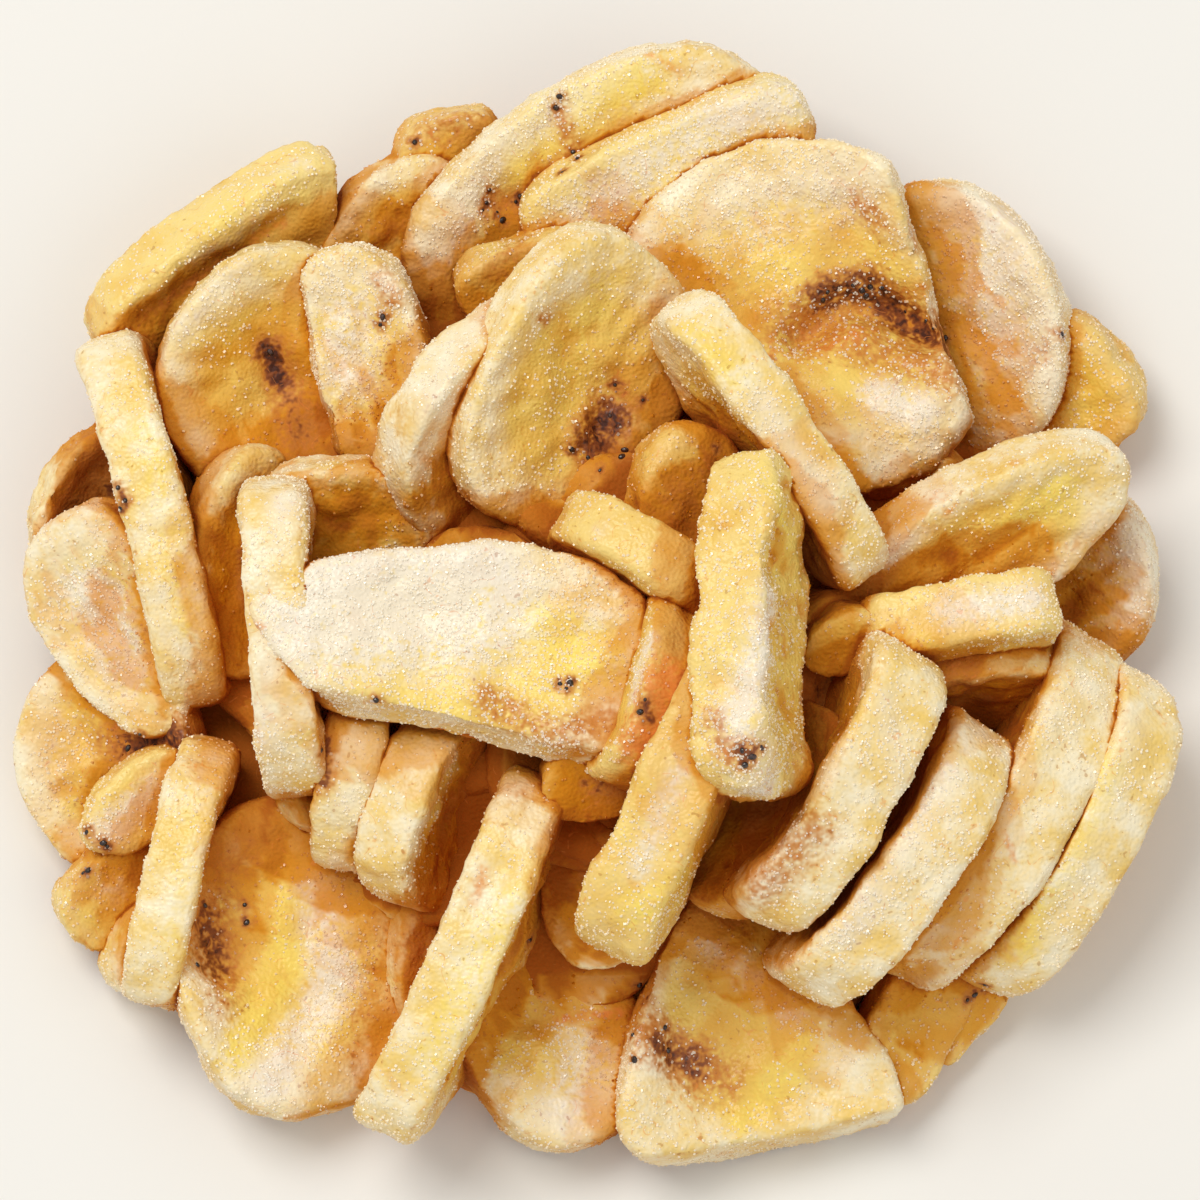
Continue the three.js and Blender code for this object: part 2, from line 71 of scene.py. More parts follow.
# name, (across, up, height), (turn, rise, tip), (half length, half width, thickness),
# form, (tone and shade: 0 pale to 1 deep gold, the slice's own tone and, for slices that lie in shade,
# painted shade; sugar, brown core, roughness, how sunken its faces are)
SLICES = (
    ("top_back", (0.3, 34, 9.5), (31, 0, 12), (19.3, 14, 5.5),
        {"cut": (-90, 3), "cup": 1, "square": 2.2}, (0.3, 0.5, 0.0, 1.2, 1)),
    ("top_slab", (6.3, 39.2, 14.5), (24, 0, 18), (13.8, 4.8, 5.5),
        {"square": 3.4}, (0.05, 0.6, 0.0, 1, 0)),
    ("small_back", (-13.5, 41, 8), (15, 0, 20), (5.5, 3.8, 5), {"square": 3}, (0.6, 0.3, 0.0, 1.4, 0)),
    ("behind_left", (-18.9, 32.8, 7), (55, 0, 15), (8.5, 6.5, 5), {}, (0.5, 0.4, 0.0, 1, 1)),
    ("upper_left", (-33.6, 30.5, 9), (38, 0, 40), (13.9, 7.4, 6),
        {"square": 2.8, "cut": (-37, 9.5)}, (0.1, 0.4, 0.0, 1.2, 0)),
    # left_face lies partly in shade: its deeper tone is partly painted shade
    ("left_face", (-29.3, 20.3, 13), (40, 0, 10), (11.5, 11, 5.5), {"cup": 2}, (0.6, 0.3, 0.2, 1, 1)),
    ("left_lobe", (-21.4, 22, 16), (-78, 0, 8), (9.8, 6.3, 6),
        {"cut": (-90, 4.5), "square": 2.3}, (0.25, 0.9, 0.0, 1.2, 1)),
    ("pair_left", (-7.8, 15.6, 17), (52, 0, 45), (14, 12.5, 6), {"cup": 1}, (0.2, 0.6, 0.1, 1, 1)),
    ("pair_right", (-2.7, 19.4, 22), (63, 0, 30), (13.7, 10.5, 5.5),
        {"square": 2.4, "cup": 1}, (0.4, 0.5, 0.1, 1, 1)),
    ("pair_back", (-6.4, 28.9, 14.5), (20, 0, 20), (6.5, 4.5, 5),
        {"square": 2.6}, (0.5, 0.4, 0.1, 1, 0)),
    ("fold_right", (19.6, 25.8, 14.5), (-35, 0, -8), (18, 14.2, 5.5),
        {"cut": (50, 10.7), "square": 2.4, "cup": 4}, (0.3, 0.9, 0.1, 1.3, 1)),
    ("pale_right", (33.3, 26, 8), (-68, 0, 15), (12.5, 9.3, 5.5), {"cup": 1}, (0.1, 0.8, 0.1, 1, 1)),
    ("far_right", (43.5, 19.2, 5), (-50, 0, 20), (6.2, 5.4, 5),
        {"square": 3.2}, (0.5, 0.5, 0.1, 1.4, 0)),
    ("cross_rod", (15, 14.2, 25), (-56, -8, 75), (15, 7.6, 5.6),
        {"square": 2.6}, (0.4, 0.7, 0.2, 1, 1)),
    ("round_bit", (7.2, 8.1, 23), (80, 0, 20), (7.5, 5, 5.5), {"square": 2.3}, (0.5, 0.5, 0.2, 1.3, 0)),
    ("top_rod", (13.3, -2.2, 30), (-91, 8, -72), (16, 7.2, 6.6),
        {"square": 2.8, "taper": 0.32}, (0.25, 0.9, 0.2, 2.2, 0)),
    ("low_rod", (7.2, -17.1, 25), (-115, 0, -83), (14.8, 8, 7.4),
        {"square": 2.6}, (0.4, 0.5, 0.3, 1, 0)),
    ("white_half", (-13.4, -5.4, 26), (-13, 0, -10), (18.6, 11, 5.5),
        {"cut": (-90, 5.8), "taper": 0.48, "square": 2.15}, (0.1, 1.3, 0.0, 1.3, 1)),
    ("back_strip", (3.6, 3.2, 24), (-32, 0, 75), (8.5, 7, 5.5), {}, (0.35, 0.4, 0.2, 1, 0)),
    ("orange_end", (4.5, -8.6, 25.5), (-111, 0, 75), (8.2, 7, 6), {}, (0.4, 0.5, 0.4, 1.4, 0)),
    ("left_rod", (-39.3, 6.75, 10.8), (105, 0, 84), (17.8, 8.5, 6),
        {"bow": -1.5, "square": 2.8}, (0.45, 0.5, 0.3, 1, 1)),
    ("left_brown", (-44.2, 7.3, 6), (60, 0, 20), (8.8, 8, 5), {"cup": 2}, (0.8, 0.3, 0.6, 1.4, 1)),
    ("left_white", (-43.2, -2.2, 10.5), (-60, 0, 20), (10.8, 6.6, 6),
        {"square": 2.3, "taper": -0.3}, (0.0, 0.9, 0.0, 1, 1)),
    ("mid_rod", (-28, -3.1, 20), (94.5, 0, 86), (14.8, 8.5, 6), {"square": 2.8}, (0.2, 0.6, 0.3, 1, 1)),
    ("mid_back", (-22.9, 7.6, 17), (0, 0, 20), (7.5, 5.5, 5.5), {"square": 2.8}, (0.5, 0.4, 0.2, 1, 1)),
    ("low_left_face", (-43.9, -14.2, 5.8), (-80, 0, 20), (11.3, 8.5, 5.5),
        {"cup": 1}, (0.4, 0.4, 0.1, 1, 1)),
    ("low_left_ridge", (-41.5, -18, 8.7), (38, 0, 10), (6, 3.5, 5), {}, (0.2, 0.8, 0.1, 1, 0)),
    ("low_left_wedge", (-43.8, -26, 4.7), (40, 0, 20), (5.5, 4, 5),
        {"square": 3.6}, (0.3, 0.5, 0.1, 1.4, 0)),
    ("edge_rod", (-37.6, -24.8, 8.7), (77, 0, 84), (12.6, 7.5, 5.4),
        {"square": 3}, (0.45, 0.5, 0.3, 1, 1)),
    ("edge_back", (-41.4, -31.5, 4), (75, 0, 30), (4.5, 3.5, 4.5), {}, (0.5, 0.4, 0.2, 1, 1)),
    ("big_low_left", (-27.7, -32.4, 7), (-72, 0, -15), (14.3, 11.2, 6),
        {"square": 2.5, "cup": 2}, (0.3, 0.5, 0.1, 1, 1)),
    ("under_a", (-21.5, -15, 15), (78, 0, 82), (9.5, 7, 5.5), {}, (0.5, 0.4, 0.4, 1, 1)),
    ("under_b", (-15.3, -18.4, 15.5), (69, 0, 65), (8.8, 7.5, 6),
        {"square": 2.6}, (0.4, 0.5, 0.3, 1, 1)),
    ("long_rod", (-11.6, -32.3, 14), (66, 6, 82), (17.8, 8, 6.5),
        {"bow": -1.5, "square": 2.6}, (0.5, 0.5, 0.3, 1, 1)),
    # dim_left, dim_mid and dim_top lie in shade between the rods: their deep tone is partly painted shade
    ("dim_left", (-14.5, -29.7, 7), (75, 0, 30), (9.5, 5, 5), {}, (0.8, 0.2, 0.4, 1, 1)),
    ("dim_mid", (0, -26, 12.5), (-70, 0, 20), (7, 5.5, 5), {}, (0.6, 0.2, 0.3, 1, 1)),
    ("brown_low", (-0.5, -15.8, 20.5), (10, 0, 20), (5, 3.8, 5), {}, (0.9, 0.2, 0.6, 1.5, 0)),
    ("dim_top", (-1, -19, 15.5), (0, 0, 20), (6, 5, 5), {}, (0.8, 0.2, 0.4, 1, 1)),
    ("bottom_mid", (-5.2, -37.8, 5.8), (-55, 0, -15), (12.3, 8.3, 6),
        {"cup": -1, "square": 3}, (0.35, 0.6, 0.1, 1, 1)),
    ("bottom_big", (12.4, -38.1, 6.5), (-80, 0, -8), (13.8, 10, 6.5),
        {"cut": (0, 11.2), "square": 2.6, "taper": 0.62, "cup": 1}, (0.4, 0.6, 0.1, 1, 1)),
    ("lean_a", (20.9, -16.3, 20), (60, 0, -76), (13.3, 9.5, 7.4),
        {"bow": 0.6, "square": 2.4}, (0.4, 0.6, 0.2, 1, 1)),
    ("lean_b", (25.8, -23.4, 14.5), (55, 0, -76), (15, 9.5, 7.2),
        {"bow": 0.6, "square": 2.5}, (0.25, 0.6, 0.2, 1, 1)),
    ("lean_c", (35.4, -19, 10.8), (57, 0, -73), (17.5, 9.6, 8.2),
        {"bow": 0.8, "square": 2.5}, (0.4, 0.6, 0.2, 1, 1)),
    ("lean_d", (42.1, -20.6, 9.3), (63, 0, -68), (15.8, 8.4, 6.8),
        {"bow": 1, "square": 2.5}, (0.4, 0.6, 0.1, 1, 1)),
    ("small_front", (27.9, -38, 4.8), (60, 0, 20), (7.3, 4.2, 5),
        {"square": 3.4}, (0.4, 0.6, 0.1, 1.2, 0)),
    ("small_side", (32.6, -36.5, 4), (50, 0, 20), (5.2, 3.4, 4.5),
        {"square": 3.2}, (0.5, 0.6, 0.3, 1.5, 0)),
    ("right_lean", (33.5, 5, 17), (33, 0, 30), (15.5, 7, 5.5), {}, (0.3, 0.6, 0.1, 1, 1)),
    ("right_rod", (32.1, -2.2, 19.5), (10, 0, 75), (9, 5.5, 6),
        {"square": 3.2}, (0.25, 0.7, 0.3, 1, 0)),
    ("tip_bit", (21.4, -3.6, 20.5), (30, 0, 20), (4, 3, 4), {}, (0.4, 0.5, 0.0, 1.3, 0)),
    ("right_back", (42.5, 2.7, 6), (-60, 0, 15), (9.5, 8, 5.5), {"cup": 1}, (0.25, 0.5, 0.2, 1, 1)),
    # deep_right, lean_zero, deep_top, deep_brown, deep_left and deep_under lie in shade under the top
    # slices: their deep gold tone is painted shade
    ("deep_right", (32.8, -7.5, 14), (8, 0, 60), (9, 6, 5), {}, (0.8, 0.2, 0.4, 1, 1)),
    ("lean_zero", (15.7, -18.9, 17), (57, 0, -45), (10.5, 8, 5.5), {}, (0.6, 0.4, 0.4, 1, 1)),
    ("deep_top", (25.5, 9.3, 8.8), (-30, 0, 20), (9, 7, 5), {}, (0.9, 0.1, 0.5, 1, 1)),
    ("deep_brown", (19.5, -8, 16.5), (80, 0, 30), (9, 6, 5), {}, (0.9, 0.1, 0.6, 1, 1)),
    ("deep_left", (-32.5, 3, 12), (85, 0, 30), (11, 6, 5), {}, (0.9, 0.1, 0.5, 1, 1)),
    ("deep_under", (-24.5, -13, 12), (80, 0, 30), (8, 5, 5), {}, (0.9, 0.1, 0.6, 1, 1)),
)

# ring radius, height, how many, slope outwards
LOWER_RINGS = ((31, 4.5, 11, 12), (24, 10, 9, 22), (13, 15.5, 5, 15), (0, 18, 1, 0))
LOWER_SIZE = (12, 10.5, 5.5)
LOWER_GROWTH = 2
LOWER_WOBBLE = 16
LOWER_SHIFT = 0.3

# How a face sinks and swells: a pit, three lobes round it, and fibres out to the rim. Shares of the radius.
FACE_SHARE = 0.9
PIT_DEPTH = 0.5
PIT_RADIUS = 0.2
LOBES = 3
LOBE_HEIGHT = 0.35
LOBE_AT = 0.3
LOBE_WIDTH = 0.13
FIBRES = 11
FIBRE_WAVE = 2
FIBRE_HEIGHT = 0.12
FIBRES_START = (0.3, 0.5)
FIBRES_END = (0.7, 0.9)
BREAK_TILT = 0.25
SMOOTH_FACTOR = 0.5
SMOOTHING = 2
UPPER_VOXEL = 0.48
LOWER_VOXEL = 0.8

# How a slice is roughened: name, size of the lumps and how high they stand, in millimetres.
ROUGHENING = (("swell", 7, 1.35), ("lumps", 2.6, 0.45), ("crumbs", 1.0, 0.26))
CLOUD_DEPTH = 2
CLOUD_LEVEL = 0.5

# Where a slice has its rim, its brown core and its toasted edge.
RIM_SHARE = (0.45, 0.9)
CHUNK_RIM = 0.4
FACE_FACING = (0.3, 0.8)
CORE_SHARE = 0.24
CORE_LOBES = 0.07
CORE_EDGE = (-0.08, 0.14)
EDGE_TOAST = 0.4
EDGE_FACING = 0.5
EDGE_SPREAD = 0.25
EDGE_START = (0.75, 0.9)

# Rays that tell how closed in a corner is, and how much painted shade it gets then; sides and undersides get
# painted shade too, and the lower slices more of it.
GAP_START = 0.5
GAP_REACH = 9
GAP_RAYS = (
    (0.0, 0.0, 1.0), (0.75, 0.0, 0.66), (-0.75, 0.0, 0.66), (0.0, 0.75, 0.66), (0.0, -0.75, 0.66),
    (0.67, 0.67, 0.3), (-0.67, -0.67, 0.3),
)
SIDE_SHADE = 0.3
LOWER_SHADE_DEPTH = 1.5

# The fruit packed under the slices.
CORE_RADIUS = 30
CORE_HEIGHT = 13.5
CORE_VOXEL = 1.6
CORE_SLUMP = 0.25
CORE_SWELL = 4
CORE_SWELL_LEVEL = 0.8

# Sugar grains and seeds.
SUGAR_SEED = 11
SUGAR_PER_MM2 = 4.7
WHITE_SUGAR = 1.5
BROWN_SUGAR = -0.4
GAP_SUGAR = 1.4
MOST_SUGAR = 1.6
SUGAR_FACING = -0.4
SUGAR_PATCH = 5
PATCH_CONTRAST = 1.6
GRAIN_START = 0.3
COVERED_WITHIN = 2.5
GRAIN_SIZE = (0.11, 0.26)
GRAIN_SQUEEZE = 0.65
GRAINS_A_PIECE = 16000
SEED_SEED = 5
SEED_SIZE = (0.5, 0.9)
SEED_SHAPE = (1, 0.75, 0.7)
SEED_SINKS = 0.12
SEED_STAIN = 0.85
SEED_STAIN_RADIUS = 0.8

# The lower slices' own sizes, lie and looks, each drawn from a seed this far from the slice's number.
LOWER_SEEDS = {"length": 100, "width": 200, "slope": 300, "spin": 400, "tone_and_shade": 500, "core": 600}
# the lower slices lie in shade: their deeper gold tone is partly painted shade
LOWER_TONE_AND_SHADE = 0.45
LOWER_TONE_GROWTH = 0.4
LOWER_SUGAR = 0.3
LOWER_CORE = 0.4
LOWER_ROUGHNESS = 1
LOWER_DISH = 1
LOWER_BOW = 1

# The floor and the studio: name of a light, its place in metres, its size and its power.
FLOOR_SIZE = 6
FLOOR_RGB = (236, 235, 231)
FLOOR_CLOUDS = 60
STUDIO_WHITE = (1, 0.99, 0.97, 1)
STUDIO_STRENGTH = 0.56
LAMP_WHITE = (1, 0.97, 0.92)
LIGHTS = (
    ("key_light", (-0.6, 0.5, 1.5), 0.9, 16.3),
    ("fill_light", (1.0, -1.0, 1.4), 1.6, 5),
)

# slice, kind, radius in mm, strength, the pixels that it runs through
MARKS = (
    ("top_back", "white", 2.2, 0.6, ((440, 270), (500, 150), (640, 52))),
    ("top_back", "yellow", 3.5, 0.9, ((520, 160), (560, 110), (640, 75))),
    ("top_back", "toast_and_shade", 1.5, 0.8, ((557, 105), (575, 150), (530, 200), (490, 205))),
    ("top_back", "brown", 0.8, 0.6, ((575, 150), (545, 185))),
    ("top_back", "orange", 0.7, 0.7, ((650, 55), (680, 72))),
    ("top_slab", "white", 3.4, 0.7, ((800, 95), (700, 130), (580, 215))),
    # top_slab's toast mark along its lower edge is painted shade
    ("top_slab", "toast_and_shade", 2.5, 0.4, ((600, 225), (690, 205))),
    ("small_back", "toast_and_shade", 2.5, 0.7, ((430, 130), (470, 125))),
    ("small_back", "brown", 0.9, 0.8, ((414, 142),)),
    ("behind_left", "white", 2.0, 0.4, ((380, 175),)),
    ("behind_left", "toast_and_shade", 2.5, 0.5, ((350, 225), (400, 230))),
    ("upper_left", "white", 1.8, 0.5, ((300, 165), (200, 260))),
    ("upper_left", "orange", 0.9, 0.6, ((285, 222), (210, 270), (150, 310))),
    ("upper_left", "yellow", 2.5, 0.6, ((290, 180), (220, 230))),
    ("left_face", "yellow", 4.0, 0.3, ((230, 340), (240, 420))),
    ("left_face", "white", 1.8, 0.5, ((180, 330), (240, 268))),
    ("left_face", "brown", 1.3, 1.2, ((268, 350), (280, 380))),
    ("left_face", "brown", 2.2, 0.6, ((280, 385), (300, 430))),
    ("left_face", "toast_and_shade", 2.4, 0.8, ((275, 350), (295, 410), (300, 440))),
    ("left_lobe", "white", 4.0, 0.7, ((345, 310), (350, 370))),
    ("left_lobe", "toast_and_shade", 1.6, 0.8, ((383, 278), (392, 300))),
    ("left_lobe", "brown", 0.6, 0.9, ((383, 320),)),
    ("pair_left", "white", 2.5, 0.5, ((430, 410), (500, 300))),
    ("pair_left", "toast_and_shade", 1.8, 0.4, ((400, 410), (420, 460))),
    ("pair_right", "yellow", 3.0, 0.5, ((600, 290), (560, 400))),
    ("pair_right", "toast_and_shade", 1.2, 0.9, ((545, 318),)),
    ("pair_right", "toast_and_shade", 3.0, 0.7, ((610, 400), (600, 460))),
    ("pair_right", "brown", 2.4, 1.1, ((592, 438), (608, 420))),
    ("pair_back", "toast_and_shade", 2.5, 0.6, ((520, 240), (500, 265))),
    ("fold_right", "white", 5.0, 0.5, ((740, 210), (850, 185))),
    ("fold_right", "yellow", 3.0, 0.4, ((740, 260), (800, 240))),
    ("fold_right", "toast_and_shade", 2.0, 0.8, ((860, 205), (905, 195), (915, 240))),
    ("fold_right", "toast_and_shade", 4.2, 0.85, ((790, 330), (860, 330), (950, 365))),
    ("fold_right", "orange", 2.0, 0.6, ((770, 350), (840, 340), (920, 290))),
    ("fold_right", "brown", 2.2, 1.05, ((822, 298), (868, 285), (905, 318), (945, 345))),
    ("fold_right", "white", 2.4, 0.9, ((880, 395), (920, 410))),
    ("pale_right", "white", 6.0, 0.8, ((985, 240), (1005, 340))),
    ("pale_right", "toast_and_shade", 1.2, 0.6, ((1042, 360), (1048, 330))),
    ("far_right", "yellow", 4.0, 0.5, ((1080, 390),)),
    ("cross_rod", "yellow", 2.5, 0.5, ((690, 330), (740, 380))),
    ("cross_rod", "white", 1.8, 0.5, ((760, 400), (830, 510))),
    ("cross_rod", "toast_and_shade", 1.8, 0.6, ((790, 520), (820, 570))),
    ("round_bit", "toast_and_shade", 3.0, 0.5, ((700, 470), (670, 500))),
    ("round_bit", "brown", 0.7, 0.8, ((716, 448),)),
    ("top_rod", "white", 2.4, 0.9, ((770, 600), (765, 650), (735, 720), (760, 790))),
    ("top_rod", "yellow", 1.6, 1.0, ((775, 490), (782, 560))),
    ("top_rod", "toast_and_shade", 1.7, 0.8, ((712, 720), (730, 760))),
    ("top_rod", "brown", 1.3, 1.1, ((745, 752),)),
    ("low_rod", "white", 1.6, 0.6, ((640, 870), (680, 770))),
    ("low_rod", "yellow", 2.6, 0.7, ((700, 840), (640, 910))),
    ("low_rod", "orange", 0.6, 0.7, ((690, 860), (650, 905))),
    ("white_half", "white", 6.5, 1.2, ((330, 610), (470, 600))),
    ("white_half", "yellow", 2.6, 1.2, ((545, 625), (600, 660))),
    ("white_half", "toast_and_shade", 2.2, 0.9, ((490, 700), (560, 735), (610, 720))),
    ("white_half", "brown", 0.7, 1.0, ((562, 686),)),
    ("white_half", "orange", 0.7, 0.9, ((258, 628),)),
    ("back_strip", "white", 1.3, 0.4, ((600, 530),)),
    ("orange_end", "orange", 2.6, 1.2, ((665, 680), (640, 745))),
    ("orange_end", "white", 1.2, 0.8, ((650, 640), (632, 700))),
    ("orange_end", "brown", 0.8, 0.9, ((645, 703), (650, 720))),
    ("left_rod", "yellow", 2.5, 0.5, ((150, 430), (190, 620))),
    ("left_rod", "white", 1.4, 0.4, ((112, 330), (160, 520))),
    ("left_brown", "toast_and_shade", 3.0, 1.0, ((95, 460), (60, 530))),
    ("left_brown", "brown", 2.0, 1.0, ((118, 490), (128, 510))),
    ("left_white", "white", 4.0, 0.9, ((90, 590), (130, 660))),
    ("left_white", "yellow", 1.8, 0.6, ((90, 565), (140, 560))),
    ("mid_rod", "white", 2.0, 0.6, ((285, 500), (265, 740))),
    ("mid_back", "yellow", 4.0, 0.4, ((360, 500),)),
    ("low_left_face", "toast_and_shade", 3.0, 0.7, ((110, 740), (170, 730))),
    ("low_left_face", "brown", 2.4, 1.0, ((135, 745), (175, 742))),
    ("low_left_face", "white", 3.0, 0.4, ((55, 720), (50, 780))),
    ("low_left_ridge", "white", 2.0, 0.9, ((165, 785), (110, 830))),
    ("low_left_wedge", "white", 2.5, 0.6, ((115, 885),)),
    ("low_left_wedge", "toast_and_shade", 1.0, 0.8, ((88, 850),)),
    ("edge_rod", "yellow", 2.0, 0.4, ((210, 780), (170, 940))),
    # big_low_left's toast along its left side is partly toasted fruit and partly painted shade under the rod
    # beside it
    ("big_low_left", "toast_and_shade", 3.0, 0.7, ((240, 850), (215, 930), (225, 1000))),
    ("big_low_left", "brown", 2.3, 0.9, ((205, 920), (215, 965))),
    ("big_low_left", "yellow", 2.4, 1.1, ((275, 890), (285, 970), (240, 1050))),
    ("big_low_left", "white", 2.6, 0.9, ((320, 890), (335, 980), (270, 1080))),
    ("big_low_left", "toast_and_shade", 2.6, 0.45, ((380, 930), (350, 1060))),
    ("big_low_left", "orange", 0.5, 0.9, ((368, 868), (390, 900))),
    ("under_a", "toast_and_shade", 1.6, 0.9, ((370, 705),)),
    ("under_a", "white", 1.8, 0.5, ((345, 800),)),
    ("under_a", "brown", 1.4, 0.8, ((325, 745), (322, 780))),
    ("under_b", "white", 1.8, 0.4, ((445, 740),)),
    ("long_rod", "yellow", 2.4, 0.6, ((510, 900), (430, 1060))),
    ("long_rod", "toast_and_shade", 2.2, 0.5, ((510, 790), (560, 800))),
    ("long_rod", "orange", 1.0, 0.7, ((482, 870), (475, 900))),
    # dim_left lies in shade between the rods: its broad toast mark is painted shade
    ("dim_left", "toast_and_shade", 3.0, 1.0, ((440, 900), (420, 950))),
    ("dim_left", "brown", 2.0, 0.6, ((430, 865),)),
    ("dim_mid", "toast_and_shade", 3.0, 0.4, ((580, 890),)),
    ("bottom_mid", "yellow", 3.0, 0.8, ((530, 980), (500, 1050))),
    ("bottom_mid", "white", 4.0, 0.7, ((590, 1060), (570, 1110))),
    ("bottom_mid", "orange", 0.6, 1.0, ((560, 1020), (620, 1012))),
    ("bottom_mid", "brown", 0.9, 0.8, ((530, 940),)),
    ("bottom_big", "toast_and_shade", 3.0, 0.9, ((650, 1030), (720, 1080))),
    ("bottom_big", "brown", 2.2, 0.9, ((660, 1045), (695, 1065))),
    ("bottom_big", "brown", 1.0, 0.8, ((645, 1000),)),
    ("bottom_big", "white", 2.0, 0.7, ((710, 940), (790, 1010))),
    ("bottom_big", "yellow", 2.8, 0.6, ((800, 1050), (740, 1120))),
    ("lean_a", "toast_and_shade", 3.2, 0.8, ((760, 890), (810, 830))),
    ("lean_a", "white", 1.8, 0.4, ((885, 700), (900, 780))),
    ("lean_b", "white", 2.0, 0.6, ((950, 770), (850, 930))),
    ("lean_c", "white", 2.4, 0.4, ((1080, 690), (940, 890))),
    ("lean_c", "orange", 0.5, 0.8, ((1005, 835), (1015, 860))),
    ("lean_d", "white", 2.2, 0.4, ((1135, 720), (1050, 930))),
    ("lean_d", "yellow", 3.0, 0.7, ((1100, 770), (1020, 940))),
    ("small_front", "yellow", 2.5, 0.5, ((910, 1020),)),
    ("small_side", "brown", 1.1, 0.9, ((985, 985),)),
    ("small_side", "yellow", 2.0, 0.6, ((965, 1020),)),
    ("right_lean", "yellow", 2.4, 0.9, ((970, 560), (1060, 490))),
    ("right_lean", "orange", 1.2, 0.6, ((935, 495), (950, 510))),
    ("right_lean", "orange", 0.9, 0.6, ((1015, 462),)),
    ("right_lean", "white", 1.8, 0.6, ((860, 600), (900, 540))),
    ("right_rod", "yellow", 1.8, 1.0, ((880, 645), (920, 650))),
    ("right_rod", "white", 2.0, 0.8, ((950, 610), (1030, 600))),
    ("tip_bit", "yellow", 3.0, 0.8, ((835, 640),)),
    ("right_back", "white", 5.0, 0.7, ((1120, 540), (1130, 600))),
    # deep_right, deep_top and deep_brown lie in shade: their broad toast marks are painted shade
    ("deep_right", "toast_and_shade", 4.0, 0.8, ((960, 680),)),
    ("deep_top", "toast_and_shade", 5.0, 0.9, ((890, 480),)),
    ("deep_brown", "toast_and_shade", 5.0, 0.9, ((815, 690),)),
    ("brown_low", "brown", 2.5, 0.6, ((605, 780),)),
)

# slice, depth in mm (less than zero lifts), radius in mm, the pixels that it runs through
DENTS = (
    ("fold_right", 3.0, 1.8, ((800, 335), (845, 305), (895, 300), (935, 325))),
    ("fold_right", -2.2, 4.2, ((850, 400), (935, 415))),
    ("fold_right", -1.2, 2.2, ((890, 175), (905, 230))),
    ("fold_right", 1.0, 3.0, ((900, 330), (950, 345))),
    ("big_low_left", 1.8, 4.5, ((235, 890), (225, 960))),
    ("big_low_left", -1.2, 3.5, ((350, 900), (370, 1000), (310, 1070))),
    ("left_face", 1.4, 4.0, ((270, 380), (280, 420))),
    ("upper_left", 0.6, 1.2, ((290, 215), (210, 270), (140, 320))),
    ("pair_right", 1.0, 3.0, ((600, 430),)),
    ("bottom_mid", 1.0, 2.0, ((545, 930), (530, 1020), (490, 1080))),
    ("bottom_big", 1.0, 2.5, ((680, 960), (680, 1060))),
    ("bottom_big", -0.8, 2.5, ((740, 960), (790, 1060))),
    ("low_left_face", 1.0, 2.5, ((150, 745),)),
    ("top_back", 0.8, 1.5, ((560, 110), (540, 190), (500, 205))),
    ("white_half", 0.8, 2.5, ((560, 640), (600, 690))),
    ("top_rod", 0.8, 1.2, ((765, 480), (770, 560))),
    ("long_rod", 0.8, 1.5, ((500, 870), (480, 900))),
    ("left_brown", 1.5, 3.0, ((95, 480), (80, 530))),
)

# the pixels where a seed shows
SEEDS = (
    (560, 97), (556, 108), (573, 152), (577, 158), (562, 172), (490, 190), (487, 203), (483, 210),
    (497, 212), (503, 220), (520, 196), (516, 202), (853, 285), (862, 290), (870, 287), (866, 296),
    (882, 288), (828, 292), (823, 300), (905, 312), (926, 322), (933, 328), (945, 338), (380, 325),
    (383, 317), (270, 352), (615, 385), (625, 450), (622, 456), (600, 470), (572, 450), (643, 400),
    (118, 488), (125, 500), (120, 508), (87, 832), (103, 843), (107, 847), (83, 873), (88, 870),
    (140, 735), (128, 748), (155, 745), (245, 905), (247, 922), (198, 965), (205, 905), (560, 684),
    (566, 688), (570, 682), (645, 700), (640, 712), (742, 750), (752, 757), (762, 748), (745, 765),
    (665, 1028), (632, 1035), (634, 1060), (668, 1050), (640, 985), (530, 940), (985, 985),
    (975, 995), (968, 1000), (1062, 335), (415, 142), (322, 750), (376, 700), (610, 415),
    (588, 458),
)

# What a slice keeps for every corner, for the material to read.
STAINS = ("yellow", "white", "toast_and_shade", "orange", "brown")
SHARES = ("tone_and_shade", "rim", "sugar", "gap_shade") + STAINS

# What the helpers work with: an even spread from whole numbers, screen colours, no division by zero.
SPREAD_STEP = 12.9898
SPREAD_SCALE = 43758.5453
GAMMA = 2.2
NOT_ZERO = 1e-15

# ---------------------------------------------------------------- small helpers


def spread(seed):
    """The same even spread of values from 0 to 1 at every run."""
    value = math.sin(seed * SPREAD_STEP) * SPREAD_SCALE
    return value - math.floor(value)


def linear(red, green, blue):
    """A colour given as 0 to 255, as the shader wants it."""
    return tuple((c / 255) ** GAMMA for c in (red, green, blue)) + (1,)


def smooth_step(low, high, value):
    share = np.clip((value - low) / (high - low), 0, 1)
    return share * share * (3 - 2 * share)


def only(piece):
    """Selects this piece and nothing else."""
    bpy.ops.object.select_all(action="DESELECT")
    piece.select_set(True)
    bpy.context.view_layer.objects.active = piece


def copy_of(source, name):
    piece = source.copy()
    piece.data = source.data.copy()
    piece.name = piece.data.name = name
    bpy.context.scene.collection.objects.link(piece)
    return piece


def apply_modifier(piece, kind, **settings):
    only(piece)
    bpy.ops.object.modifier_add(type=kind)
    modifier = piece.modifiers[-1]
    for key, value in settings.items():
        setattr(modifier, key, value)
    bpy.ops.object.modifier_apply(modifier=modifier.name)


def points_of(piece):
    """The corners of a piece, in millimetres."""
    flat = np.empty(len(piece.data.vertices) * 3)
    piece.data.vertices.foreach_get("co", flat)
    return flat.reshape(-1, 3) / MM


